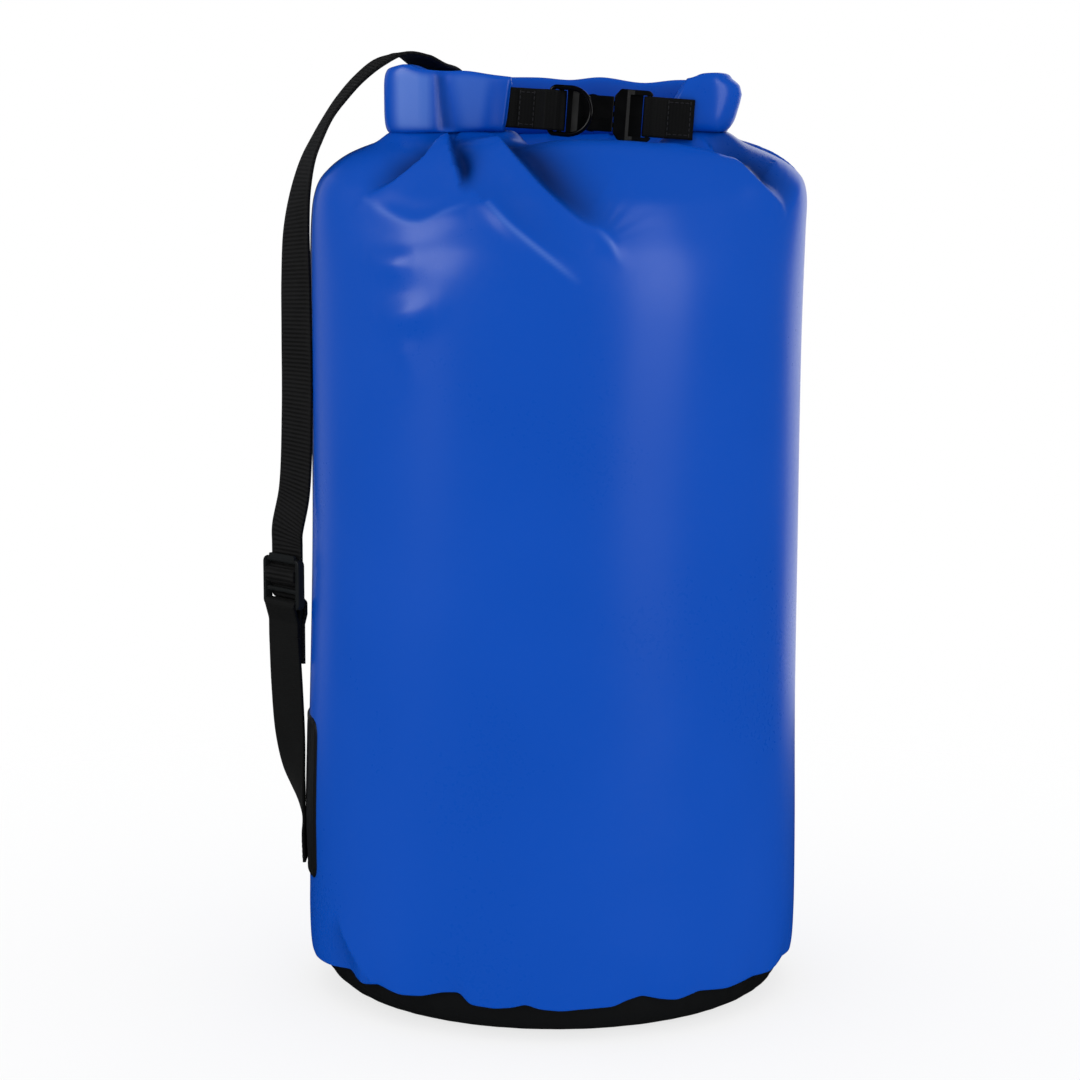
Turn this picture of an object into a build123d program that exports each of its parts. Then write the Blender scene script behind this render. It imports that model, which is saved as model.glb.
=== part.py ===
"""A 20 litre roll-top dry bag, packed full and standing on its base.

Frame: origin at the centre of the base on the ground, +Z up, the clipped side of the closure towards -Y.
Units are millimetres.
"""

import os
from math import cos, degrees, radians, sin

from build123d import *

# ---------------------------------------------------------------- driving dimensions
# Tarpaulin bag
ply = 0.9  # thickness of one modelled ply of tarpaulin
tube_radius = 120.0  # outside of the filled tube, where it meets the shoulder
tube_waist = 1.4  # how far the filled tube draws in at mid height
base_bulge = 1.0  # how far the filling pushes the tube out just above the base
hem_height = 14.0  # lower edge of the blue tube
hem_tuck = 3.0  # how far the lower edge turns in
shoulder_height = 378.0  # where the tube ends and the gathered shoulder starts
seam_width = 25.0  # overlap weld of the tube's sheet
seam_angle = 50.0  # degrees round the bag, 90 is the middle of the back

# Base pan
base_corner = 19.0  # rounding between the underside and the wall
base_lap = 24.0  # how far the pan's wall is lapped inside the tube
weld_gap = 0.1  # between two welded plies

# Shoulder
shoulder_wall = 5.7  # upright stretch above the tube
shoulder_corner = 30.0  # rounding at the rim of the shoulder
shoulder_fall = 3.6  # drop of the shoulder from its centre to its rounded rim
front_slope = ((-2.0, 0.5), (8.0, 9.5), (16.0, 18.5), (24.0, 27.5), (32.0, 33.5), (44.0, 37.5), (64.0, 39.5))
back_slope = ((-2.0, 2.0), (8.0, 13.0), (16.0, 23.0), (24.0, 30.0), (32.0, 34.0), (44.0, 38.0), (60.0, 39.5))
slope_shift = (0.6, 0.9)  # inwards and down from the outside of a slope to its inside, as shares of the ply
hollow_margin = 11.5  # from the middle of the roll to the hollow inside its loop
hollow_corner = 14.0
hollow_depth = 12.0
hollow_taper = 38.0  # degrees

# Rolled mouth
roll_turns = 2  # whole turns of the double ply around the stiffener
roll_pitch = 2.3  # spacing of neighbouring turns
roll_core = 1.6  # distance of the innermost ply from the middle of the roll
roll_height = 29.8  # overall height of the roll
roll_clearance = 0.7  # between the shoulder and the underside of the roll
arm_front_y = -36.0  # middle of the two arms that come forward
roll_back_y = 38.0  # middle of the stretch across the back
roll_left_x = -77.0  # middle of the left bend
roll_right_x = 83.0  # middle of the right bend
roll_bend = 15.0  # bend radius along the middle of the roll
left_arm_end_x = -22.6
right_arm_end_x = 60.0
stiffener_thickness = 1.5
stiffener_height = 15.0
stiffener_inset = 3.0  # how far its ends lie inside the ends of the roll

# Closure webbing
closure_webbing = 19.0  # width
closure_ply = 1.2  # thickness
closure_tuck = 10.0  # how far the left strap reaches into the roll
closure_tilt = 4.0  # degrees that the clipped closure slopes down to the right
closure_front_y = -45.6  # middle plane of the buckle
left_loop_run = 24.8  # from the end of the left arm to the female half's strap bar
right_tab_length = 22.0  # from the male half's strap bar to the end of the right strap
stitched_run = 12.0  # length of a sewn down strap end
sewn_step = 0.85  # spacing of two plies pulled together by stitching, in plies

# Buckle
buckle_bar = 1.2  # half thickness of a strap bar
bar_clearance = 0.25  # between a strap bar and the webbing around it
slot_clearance = 0.3  # between the webbing's edge and the end of a strap slot
frame_rail = 2.3  # width of the rails beside a strap slot
frame_half_depth = 1.7  # half thickness of the frames around the strap slots
body_half_height = 8.3  # female half, half height at its waist
body_half_depth = 3.7
body_wall = 1.5
mouth_x = 25.0  # from the female strap bar to the mouth
cavity_start = 7.0
window_start = 9.5
window_end = 17.8
male_bar_x = 41.7  # from the female strap bar to the male strap bar
male_shoulder = 7.2  # solid part of the male half between its mouth face and its sunken panel
panel_half_depth = 0.7  # half thickness of the sunken panel beside the male strap bar
male_half_depth = 2.5
latch_clearance = 0.3
prong_pivot_x = 27.6
prong_pivot_y = 5.0
prong_pivot_radius = 1.3
prong_half_depth = 1.7
barb_height = 8.0
prong_tip_x = 8.2
guide_half_height = 1.2
guide_tip_x = 10.0

# D-ring
ring_wire = 1.1  # radius of the wire
ring_bar_x = -4.8  # from the female strap bar
ring_bar_depth = 2.1  # towards the front, from the buckle's middle plane
ring_length = 21.4  # outside length, from bar to bow
ring_lean = 18.0  # degrees that the bow stands off the buckle
ring_clearance = 0.45  # between the ring's bar and the webbing over it

# Shoulder strap
strap_width = 25.0
strap_ply = 1.6
patch_ply = 1.0
patch_clearance = 0.3
lower_patch_width = 50.0
lower_patch_bottom = 56.0
lower_patch_top = 136.0
tab_length = 14.0
tab_margin = 3.0  # from the edge of a patch to the stitched tab on it
upper_tab_length = 30.0
upper_patch_width = 56.0
upper_patch_length = 71.0
upper_patch_margin = 7.0  # from the tube's top to the patch
upper_anchor_angle = 102.0  # degrees round the bag, 90 is the middle of the back
ribbon_step = 10.0  # spacing of the sections that a strap is lofted through
strap_gap = 0.9  # between a moving strap end and the stitched tab that carries it

# Ladder lock
lock_standoff = 14.6  # from the tube to the middle of the lock
lock_side = -6.0  # how far its middle lies towards the front
lock_height = 200.0
lock_turn = (0.64, -0.768, 0.0)  # direction of its width
lock_rail = 2.6
lock_half_depth = 2.0
lock_bar = 1.3  # half thickness of its bars
lock_pitch = 7.4  # spacing of its bars
lock_tail = 34.0  # free length of the webbing tail
anchor_sewn = 16.0  # length of the anchor strap's sewn loop below its bar

# ---------------------------------------------------------------- derived sizes
rim_height = shoulder_height + shoulder_wall + shoulder_corner
neck_height = rim_height + shoulder_fall
upper_patch_top = shoulder_height - upper_patch_margin
upper_patch_bottom = upper_patch_top - upper_patch_length
upper_tab_top = upper_patch_top - tab_margin
roll_half_depth = roll_core + roll_turns * roll_pitch + ply / 2
roll_bottom = neck_height + roll_clearance
roll_lower_radius = roll_core + (roll_turns - 0.5) * roll_pitch + ply / 2
roll_straight = (roll_height - roll_half_depth - roll_lower_radius) / 2
roll_middle = roll_bottom + roll_lower_radius + roll_straight

loop_radius = buckle_bar + bar_clearance + closure_ply / 2
slot_half = closure_webbing / 2 + slot_clearance
slot_reach = loop_radius + closure_ply / 2 + slot_clearance
frame_half = slot_half + frame_rail
male_frame_end = male_bar_x + buckle_bar + 0.5

closure_plane = Plane(
    origin=(left_arm_end_x, closure_front_y, roll_middle),
    x_dir=(cos(radians(closure_tilt)), 0, -sin(radians(closure_tilt))),
    z_dir=(0, -1, 0),
)
buckle_place = closure_plane.location * Pos(left_loop_run, 0, 0)


# ---------------------------------------------------------------- tarpaulin bag
def tube_outline(outset):
    """Upright outline of the filled tube in the XZ plane, moved outwards by outset."""
    middle = (hem_height + shoulder_height) / 2
    bulge_height = hem_height + (middle - hem_height) / 5
    return Spline(
        (tube_radius - hem_tuck + outset, hem_height),
        (tube_radius + base_bulge + outset, bulge_height),
        (tube_radius - tube_waist + outset, middle),
        (tube_radius + outset, shoulder_height),
        tangents=((0.5, 1), (0, 1)),
    )


def tube_skin(inner, outer):
    """Ring that follows the filled tube between two distances from its outside."""
    inside = tube_outline(inner)
    outside = tube_outline(outer)
    foot = Line(inside @ 0, outside @ 0)
    head = Line(inside @ 1, outside @ 1)
    return Plane.XZ * make_face([inside, outside, foot, head])


def body_tube():
    """Straight part of the bag, with the overlap weld of its sheet."""
    tube = revolve(tube_skin(-ply, 0), Axis.Z)
    seam_arc = degrees(seam_width / tube_radius)
    seam = revolve(tube_skin(-ply / 2, ply), Axis.Z, seam_arc)
    return tube + Rot(0, 0, seam_angle - seam_arc / 2) * seam


def base_panel():
    """Black pan with a flat underside, a rounded corner and a wall lapped inside the tube."""
    wall = tube_radius - hem_tuck - ply - weld_gap
    flat = wall - base_corner
    lap_top = hem_height + base_lap
    with BuildSketch(Plane.XZ) as section:
        with BuildLine():
            Line((0, 0), (flat, 0))
            RadiusArc((flat, 0), (wall, base_corner), -base_corner)
            Line((wall, base_corner), (wall, lap_top))
            Line((wall, lap_top), (wall - ply, lap_top))
            Line((wall - ply, lap_top), (wall - ply, base_corner))
            RadiusArc((wall - ply, base_corner), (flat, ply), base_corner - ply)
            Line((flat, ply), (0, ply))
            Line((0, ply), (0, 0))
        make_face()
    return revolve(section.sketch, Axis.Z)


def shoulder_dome(inset):
    """Low dome that rounds into the tube, as a filled solid inside its outer surface by inset."""
    corner_start = rim_height - shoulder_corner
    corner_edge = tube_radius - shoulder_corner
    corner = shoulder_corner - inset
    side = tube_radius - inset
    foot = shoulder_height - inset
    with BuildSketch(Plane.XZ) as section:
        with BuildLine():
            Line((0, foot), (side, foot))
            Line((side, foot), (side, corner_start))
            RadiusArc((side, corner_start), (corner_edge, rim_height - inset), -corner)
            Spline((corner_edge, rim_height - inset), (0, neck_height - inset), tangents=((-1, 0), (-1, 0)))
            Line((0, neck_height - inset), (0, foot))
        make_face()
    return revolve(section.sketch, Axis.Z)


def shoulder_slope(side, stations, inset):
    """Side view of the cloth drawn in from the tube's front (-1) or back (1) up to the roll."""
    inwards, down = slope_shift
    points = [
        (side * (tube_radius - run - inset * inwards), shoulder_height + rise - inset * down)
        for run, rise in stations
    ]
    return Spline(*points)


def shoulder_drape(inset):
    """Everything under the two slopes, filled and carried across the bag, inside its surface by inset."""
    front = shoulder_slope(-1, front_slope, inset)
    back = shoulder_slope(1, back_slope, inset)
    foot = shoulder_height - shoulder_corner
    ground = Line(((front @ 0).X, foot), ((back @ 0).X, foot))
    outline = make_face(
        [front, Line(front @ 1, back @ 1), back, Line(back @ 0, ground @ 1), ground, Line(ground @ 0, front @ 0)]
    )
    return extrude(Plane.YZ * outline, 2 * tube_radius, both=True)


def loop_hollow(outset):
    """Hollow that the cloth sags into inside the roll's loop, larger all round by outset."""
    width = roll_right_x - roll_left_x - 2 * hollow_margin + 2 * outset
    depth = roll_back_y - arm_front_y - 2 * hollow_margin + 2 * outset
    middle = ((roll_left_x + roll_right_x) / 2, (arm_front_y + roll_back_y) / 2, neck_height)
    outline = RectangleRounded(width, depth, hollow_corner + outset)
    sag = extrude(outline, -(hollow_depth + outset), taper=hollow_taper)
    return Pos(*middle) * (sag + extrude(outline, hollow_depth))


def shoulder():
    """Gathered top of the bag: a low dome drawn in at the front and back, sagging inside the roll's loop."""
    outside = (shoulder_dome(0) & shoulder_drape(0)) - loop_hollow(0)
    inside = (shoulder_dome(ply) & shoulder_drape(ply)) - loop_hollow(ply)
    return outside - inside


# ---------------------------------------------------------------- rolled mouth
def roll_path(inset):
    """Middle line of the roll, seen from above a C whose two arms come forward."""
    corners = (
        (left_arm_end_x - inset, arm_front_y),
        (roll_left_x, arm_front_y),
        (roll_left_x, roll_back_y),
        (roll_right_x, roll_back_y),
        (roll_right_x, arm_front_y),
        (right_arm_end_x + inset, arm_front_y),
    )
    return Pos(0, 0, roll_middle) * FilletPolyline(*corners, radius=roll_bend)


def roll_section_plane(inset):
    """Upright plane across the end of the left arm, its x axis pointing out of the C."""
    origin = (left_arm_end_x - inset, arm_front_y, roll_middle)
    return Plane(origin=origin, x_dir=(0, -1, 0), z_dir=(-1, 0, 0))


def spiral_side(shift):
    """One side of the rolled ply, wound from the core outwards and down into the neck."""
    top = roll_straight
    edges = []
    for turn in range(roll_turns + 1):
        reach = roll_core + turn * roll_pitch + shift
        foot = -top if turn < roll_turns else neck_height - roll_middle
        edges.append(Line((reach, -top), (reach, top)))
        edges.append(CenterArc((0, top), reach, 0, 180))
        edges.append(Line((-reach, top), (-reach, foot)))
        if turn < roll_turns:
            edges.append(CenterArc((roll_pitch / 2, -top), reach + roll_pitch / 2, 180, 180))
    return edges


def roll_top():
    """Mouth of the bag, rolled around its stiffener and bent into a C."""
    outside = spiral_side(ply / 2)
    inside = spiral_side(-ply / 2)
    free_edge = Line(outside[0] @ 0, inside[0] @ 0)
    neck_edge = Line(outside[-1] @ 1, inside[-1] @ 1)
    section = make_face([*outside, *inside, free_edge, neck_edge])
    return sweep(roll_section_plane(0) * section, path=roll_path(0))


def closure_stiffener():
    """Flat strip in the core of the roll."""
    section = Rectangle(stiffener_thickness, stiffener_height)
    placed = roll_section_plane(stiffener_inset) * section
    return sweep(placed, path=roll_path(stiffener_inset))


# ---------------------------------------------------------------- closure webbing
def webbing_strip(runs, width, thickness, side_view=Plane.XZ):
    """Webbing whose side view is the given runs, each a list of edges, and that reaches width across it."""
    strip = Part()
    for run in runs:
        strip += extrude(side_view * trace(run, line_width=thickness), width / 2, both=True)
    return strip


def closure_strap_left():
    """Webbing from between the plies of the left arm, around the strap bar and the D-ring's bar."""
    rolled_depth = closure_front_y - arm_front_y + roll_core + (roll_turns - 0.5) * roll_pitch
    exit_x = 0.5 - left_loop_run
    merge_x = ring_bar_x - 3
    slope = (-loop_radius - rolled_depth) / (merge_x - exit_x)
    stitch_x = merge_x - stitched_run
    ply_step = sewn_step * closure_ply
    hump = ring_bar_depth + ring_wire + ring_clearance + closure_ply / 2
    back = FilletPolyline(
        (exit_x - closure_tuck, rolled_depth),
        (exit_x, rolled_depth),
        (merge_x, -loop_radius),
        (0, -loop_radius),
        radius=4,
    )
    loop = CenterArc((0, 0), loop_radius, -90, 180)
    front = FilletPolyline(
        (0, loop_radius),
        (ring_bar_x + 2.4, hump),
        (ring_bar_x - 2.2, hump),
        (merge_x - 3.5, -loop_radius - 3.5 * slope + ply_step),
        (stitch_x, rolled_depth + slope * (stitch_x - exit_x) + ply_step),
        radius=1.2,
    )
    strip = webbing_strip([[back, loop], [front]], closure_webbing, closure_ply)
    return buckle_place * strip


def closure_strap_right():
    """Webbing looped around the male half's strap bar, its end lying on the right arm."""
    end_step = sewn_step * closure_ply - loop_radius
    back = Line((right_tab_length, -loop_radius), (0, -loop_radius))
    loop = CenterArc((0, 0), loop_radius, 90, 180)
    front = FilletPolyline(
        (0, loop_radius),
        (2.5, loop_radius),
        (8, end_step),
        (right_tab_length - 1.5, end_step),
        radius=2,
    )
    strip = webbing_strip([[back, loop], [front]], closure_webbing, closure_ply)
    return buckle_place * Pos(male_bar_x, 0, 0) * strip


# ---------------------------------------------------------------- side-release buckle
def mirrored_plate(corners, radii, half_depth):
    """Plate symmetric about the X axis, from the filleted upper half of its outline."""
    half = FilletPolyline(*corners, radius=radii)
    upper = make_face([half, Line(half @ 1, half @ 0)])
    return extrude(upper + mirror(upper, Plane.XZ), half_depth, both=True)


def side_profile(points, half_height):
    """Solid whose side view is symmetric about the middle plane, for shaping a plate's thickness."""
    lower = [(x, -z) for x, z in reversed(points)]
    outline = Polyline(*points, *lower, close=True)
    return extrude(Plane.XZ * make_face(outline), half_height, both=True)


def strap_bar(x):
    """Round bar that webbing is looped around, reaching into the rails at both ends."""
    length = 2 * slot_half + frame_rail
    return Pos(x, 0, 0) * Rot(90, 0, 0) * Cylinder(buckle_bar, length)


def span_box(x_from, x_to, y_from, y_to, half_depth):
    """Box between two x and two y values, symmetric about the middle plane."""
    place = Pos((x_from + x_to) / 2, (y_from + y_to) / 2, 0)
    return place * Box(x_to - x_from, y_to - y_from, 2 * half_depth)


def buckle_female():
    """Hollow half: strap frame, waisted body, open mouth and a window on each side for the prongs."""
    frame_end = -buckle_bar - 0.5
    corners = (
        (frame_end, 0),
        (frame_end, frame_half),
        (cavity_start - 1.5, frame_half),
        (window_start + 1.5, body_half_height),
        (mouth_x, body_half_height),
        (mouth_x, 0),
    )
    plate = mirrored_plate(corners, (2.6, 3.2, 3.0, 0.6), body_half_depth)
    depths = [
        (frame_end, frame_half_depth),
        (cavity_start - 1.6, frame_half_depth),
        (cavity_start + 1.4, body_half_depth),
        (mouth_x, body_half_depth),
    ]
    body = plate & side_profile(depths, frame_half)
    rounded = body.edges().filter_by(Axis.Z, reverse=True)
    outer = [e for e in rounded if abs(e.center().Z) > frame_half_depth - 0.01]
    body = fillet(outer, 0.55)
    spine = Pos(0, 0, body_half_depth) * extrude(
        Pos((cavity_start + mouth_x) / 2 + 1, 0) * RectangleRounded(mouth_x - cavity_start - 4, 5.2, 2.2), 0.5
    )
    cavity_half = body_half_height - body_wall
    cavity_depth = body_half_depth - body_wall + 0.2
    cavity = span_box(cavity_start, mouth_x + 1, -cavity_half, cavity_half, cavity_depth)
    window = span_box(window_start, window_end, -frame_half, frame_half, cavity_depth)
    slot = span_box(frame_end - 1, slot_reach, -slot_half, slot_half, body_half_depth)
    half = body + spine - cavity - window - slot + strap_bar(0)
    return buckle_place * half


def buckle_male():
    """Frame around its strap bar and a sunken panel, a shoulder that meets the mouth, and the centre guide."""
    face_x = mouth_x + latch_clearance
    slot_start = face_x + male_shoulder
    corners = (
        (face_x, 0),
        (face_x, body_half_height + 0.4),
        (face_x + 2.6, frame_half),
        (male_frame_end, frame_half),
        (male_frame_end, 0),
    )
    plate = mirrored_plate(corners, (0.8, 1.8, 2.8), body_half_depth)
    depths = [
        (face_x, body_half_depth - 0.4),
        (slot_start - 1.5, body_half_depth - 0.4),
        (slot_start + 2, male_half_depth - 0.4),
        (male_frame_end, frame_half_depth),
    ]
    body = plate & side_profile(depths, frame_half)
    rims = [e for e in body.edges().filter_by(Axis.Z, reverse=True) if abs(e.center().Z) > frame_half_depth - 0.01]
    body = fillet(rims, 0.5)
    slot = span_box(slot_start, male_frame_end + 1, -slot_half, slot_half, body_half_depth)
    panel = span_box(slot_start - 1, male_bar_x - slot_reach, -slot_half - 1, slot_half + 1, panel_half_depth)
    guide = span_box(guide_tip_x, face_x + 1, -guide_half_height, guide_half_height, prong_half_depth)
    guide = fillet(guide.edges().filter_by(Axis.Z).group_by(Axis.X)[0], guide_half_height - 0.05)
    body = body - slot + panel + strap_bar(male_bar_x) + guide
    pocket_radius = prong_pivot_radius + latch_clearance
    for side in (1, -1):
        pocket = Pos(prong_pivot_x, side * prong_pivot_y, 0) * Cylinder(pocket_radius, 2 * prong_half_depth + 0.5)
        channel = span_box(face_x - 1, prong_pivot_x, 2.6, 6.6, prong_half_depth + 0.25)
        if side < 0:
            channel = mirror(channel, Plane.XZ)
        body = body - pocket - channel
    return buckle_place * body


def prong(side):
    """Sprung prong: root in the male half, barb behind the mouth and a bulging finger grip."""
    barb_x = window_end - latch_clearance
    neck_outer = prong_pivot_y + prong_pivot_radius - 0.1
    neck_inner = prong_pivot_y - prong_pivot_radius + 0.1
    grip = Spline(
        (barb_x, barb_height),
        (barb_x - 3.5, barb_height + 0.7),
        (prong_tip_x + 2.3, barb_height - 1.1),
        (prong_tip_x, prong_pivot_y + 0.2),
    )
    rest = Polyline(
        (prong_tip_x, prong_pivot_y + 0.2),
        (prong_tip_x + 0.4, prong_pivot_y - 0.4),
        (prong_tip_x + 4, prong_pivot_y + 0.1),
        (barb_x - 1, neck_inner + 0.5),
        (prong_pivot_x, neck_inner),
        (prong_pivot_x, neck_outer),
        (barb_x, neck_outer),
        (barb_x, barb_height),
    )
    blade = extrude(make_face([grip, rest]), prong_half_depth, both=True)
    root = Pos(prong_pivot_x, prong_pivot_y, 0) * Cylinder(prong_pivot_radius, 2 * prong_half_depth)
    shape = blade + root
    if side < 0:
        shape = mirror(shape, Plane.XZ)
    return buckle_place * shape


def closure_d_ring():
    """Wire D-ring, its bar inside the loop of the left strap and its bow standing off the buckle."""
    arm = slot_half + ring_wire
    reach = ring_length / cos(radians(ring_lean)) - 2 * ring_wire
    bow_start = reach - arm
    sides = FilletPolyline((bow_start, -arm), (0, -arm), (0, arm), (bow_start, arm), radius=2.6)
    bow = ThreePointArc((bow_start, arm), (reach, 0), (bow_start, -arm))
    section = Plane(origin=(bow_start, -arm, 0), z_dir=(1, 0, 0)) * Circle(ring_wire)
    wire = sweep(section, path=Wire([*sides.edges(), *bow.edges()]))
    lean = Pos(ring_bar_x, 0, ring_bar_depth) * Rot(0, -ring_lean, 0)
    return buckle_place * lean * wire


# ---------------------------------------------------------------- anchor patches and stitched ends
def wrapped_sheet(angle, width, bottom, top, corner, inner, outer):
    """Sheet with rounded corners that follows the tube between two distances from its outside."""
    arc = degrees(2 * width / tube_radius)
    skin = Rot(0, 0, -arc / 2) * revolve(tube_skin(inner, outer), Axis.Z, arc)
    outline = Pos(0, (bottom + top) / 2) * RectangleRounded(width, top - bottom, corner)
    cutter = extrude(Plane.YZ * outline, 2 * tube_radius)
    return Rot(0, 0, angle) * (skin & cutter)


def lower_anchor_patch():
    """Black patch welded low on the left side."""
    outer = weld_gap + patch_ply
    return wrapped_sheet(180, lower_patch_width, lower_patch_bottom, lower_patch_top, 8, weld_gap, outer)


def upper_anchor_patch():
    """Black patch welded high on the back."""
    outer = weld_gap + patch_ply
    angle = upper_anchor_angle
    return wrapped_sheet(angle, upper_patch_width, upper_patch_bottom, upper_patch_top, 8, weld_gap, outer)


def stitched_end(angle, bottom, length):
    """End of the shoulder strap sewn flat onto a patch."""
    inner = 2 * weld_gap + patch_ply
    return wrapped_sheet(angle, strap_width, bottom, bottom + length, 1.5, inner, inner + strap_ply)


# ---------------------------------------------------------------- shoulder strap
lock_plane = Plane(
    origin=(-tube_radius - lock_standoff, lock_side, lock_height),
    x_dir=Vector(lock_turn).normalized(),
    z_dir=Vector(lock_turn).cross(Vector(0, 0, 1)),
)
lock_loop = lock_bar + bar_clearance + strap_ply / 2
top_bar, webbing_bar, middle_bar, anchor_bar = (lock_pitch * step for step in (1.5, 0.5, -0.5, -1.5))
webbing_entry = top_bar + 6
anchor_foot = anchor_bar - anchor_sewn
lower_tab_top = lower_patch_bottom + tab_margin + tab_length


def on_lock(height, depth):
    """Point on the middle line of the ladder lock, by height and distance towards its front."""
    return tuple(lock_plane.from_local_coords((0, height, depth)))


def tube_reach(height):
    """Outside radius of the filled tube at a height."""
    outline = tube_outline(0)
    samples = [outline @ (step / 80) for step in range(81)]
    return min(samples, key=lambda point: abs(point.Y - height)).X


def strap_end(angle, height):
    """Middle of a strap that lies on an anchor patch, and the direction across it there."""
    turn = radians(angle)
    reach = tube_reach(height) + weld_gap + patch_ply + patch_clearance + strap_ply / 2
    return (reach * cos(turn), reach * sin(turn), height), (-sin(turn), cos(turn), 0)


def ribbon(stations):
    """Strap lofted through pairs of a middle point and the direction across the strap there."""
    path = Spline(*[point for point, _ in stations])
    marks = [path.param_at_point(point) for point, _ in stations]
    turns = [Vector(stations[0][1])]
    for _, across in stations[1:]:
        turn = Vector(across)
        turns.append(turn if turn.dot(turns[-1]) > 0 else turn * -1)
    steps = round(path.length / ribbon_step)
    sections = []
    for step in range(steps + 1):
        mark = step / steps
        after = next(i for i, m in enumerate(marks) if i and m >= min(mark, marks[-1]))
        share = (mark - marks[after - 1]) / (marks[after] - marks[after - 1])
        across = turns[after - 1] * (1 - share) + turns[after] * share
        along = path % mark
        across = across - along * across.dot(along)
        place = Plane(origin=path @ mark, x_dir=across, z_dir=along)
        sections.append(place * Rectangle(strap_width, strap_ply))
    return loft(sections)


def beside_tube(standoff, y, height):
    """Point at a distance off the tube's left side."""
    return (-tube_radius - standoff, y, height)


def behind_tube(x, standoff, height):
    """Point at a distance off the tube's back."""
    return (x, tube_radius + standoff, height)


def over_roll(x, y, rise):
    """Point over the left bend of the roll, its x from the bend's middle and its rise from the roll's top."""
    return (roll_left_x + x, y, roll_bottom + roll_height + rise)


def anchor_strap():
    """Smooth strap from the lower patch up to the loop around the ladder lock's lowest bar."""
    top = on_lock(anchor_foot, 0)
    blade = ribbon(
        [
            strap_end(180, lower_tab_top + strap_gap),
            strap_end(180, lower_tab_top + strap_gap + 3),
            (beside_tube(3.9, -0.4, lower_tab_top + 8), (0.04, -1, 0)),
            (beside_tube(7.2, -1.8, lower_tab_top + 18), (0.24, -0.97, 0)),
            (beside_tube(10.9, -4.2, lower_tab_top + 31), (0.46, -0.89, 0)),
            (beside_tube(13.2, -5.6, lower_tab_top + 50), (0.6, -0.8, 0)),
            (beside_tube(14.3, lock_side, lock_height - 52), lock_turn),
            (top, lock_turn),
        ]
    )
    step = sewn_step * strap_ply
    front = FilletPolyline((anchor_foot, 0), (anchor_foot + 8, 0), (anchor_bar, lock_loop), radius=6)
    loop = CenterArc((anchor_bar, 0), lock_loop, -90, 180)
    back = FilletPolyline((anchor_bar, -lock_loop), (anchor_foot + 10, -step), (anchor_foot, -step), radius=6)
    turn = webbing_strip([[front], [loop], [back]], strap_width, strap_ply, Plane.YZ)
    return blade + lock_plane.location * turn


def strap_ladder_lock():
    """Frame with four bars: a lifting bar, the webbing's bar, a middle bar and the anchor strap's bar."""
    opening = strap_width + 2 * slot_clearance
    outer_width = opening + 2 * lock_rail
    outer_height = top_bar - anchor_bar + 2 * lock_bar
    rails = extrude(RectangleRounded(outer_width, outer_height, 3), lock_half_depth, both=True)
    rails = fillet(rails.edges().filter_by(Axis.Z, reverse=True), 0.7)
    rails = rails - Box(opening, outer_height + 2, 2 * lock_half_depth + 1)
    bars = [
        Pos(0, height, 0) * Rot(0, 90, 0) * Cylinder(lock_bar, opening + lock_rail)
        for height in (top_bar, webbing_bar, middle_bar, anchor_bar)
    ]
    lip_height = 2.4
    lip = Pos(0, top_bar + lock_bar / 2 + lip_height / 2, lock_bar / 2) * Box(opening - 4, lip_height, lock_bar)
    lip = fillet(lip.edges().filter_by(Axis.Z).group_by(Axis.Y)[-1], 1.0)
    frame = rails + bars + lip
    return lock_plane.location * frame


def webbing_turn():
    """Stretch of the shoulder webbing that is threaded over the ladder lock's second bar."""
    crossing = lock_bar + 0.8
    route = FilletPolyline(
        (webbing_entry, -lock_loop),
        (top_bar - 2.5, -lock_loop),
        (webbing_bar + crossing, lock_loop),
        (webbing_bar - crossing, lock_loop),
        (middle_bar + 2.5, -lock_loop),
        (middle_bar - 2, -lock_loop),
        radius=1.0,
    )
    turn = webbing_strip([[route]], strap_width, strap_ply, Plane.YZ)
    return lock_plane.location * turn


def webbing_tail():
    """Free end of the shoulder webbing, hanging behind the anchor strap."""
    start = middle_bar - 2
    behind = -lock_loop - strap_ply - 0.9
    route = FilletPolyline(
        (start, -lock_loop),
        (start - 1, -lock_loop),
        (start - 3.5, behind),
        (start - lock_tail, behind),
        radius=0.8,
    )
    tail = webbing_strip([[route]], strap_width, strap_ply, Plane.YZ)
    return lock_plane.location * tail


def shoulder_webbing():
    """Ribbed webbing from the ladder lock, over the left bend of the roll, to the upper patch."""
    return ribbon(
        [
            (on_lock(webbing_entry, -lock_loop), lock_turn),
            (on_lock(webbing_entry + 5, -lock_loop), lock_turn),
            (beside_tube(9.2, lock_side, lock_height + 46), (0.63, -0.777, 0)),
            (beside_tube(7.9, lock_side, lock_height + 85), (0.62, -0.785, 0)),
            (beside_tube(7.7, lock_side, shoulder_height - 43), (0.61, -0.79, 0)),
            (beside_tube(7.2, -5.0, shoulder_height - 4), (0.56, -0.83, 0)),
            (beside_tube(2.8, -3.9, rim_height - 11.7), (0.4, -0.92, 0)),
            (over_roll(-35.8, -1.4, -23.4), (0.26, -0.965, 0)),
            (over_roll(-19.0, 2.6, -1.2), (0.2, -0.97, -0.1)),
            (over_roll(3.0, 9.6, 12.2), (0.38, -0.92, 0)),
            (over_roll(24.0, 29.5, 7.6), (0.72, -0.69, 0)),
            (over_roll(34.5, 54.5, -2.8), (0.9, -0.43, 0)),
            (behind_tube(-33.5, -36.0, neck_height + 9.7), (0.96, -0.28, 0)),
            (behind_tube(-28.5, -10.0, neck_height - 4.3), (0.98, -0.1, 0)),
            (behind_tube(-26.4, 3.4, rim_height - 21.7), (0.98, 0.15, 0)),
            strap_end(upper_anchor_angle, upper_tab_top + strap_gap + 4),
            strap_end(upper_anchor_angle, upper_tab_top + strap_gap),
        ]
    )


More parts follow.
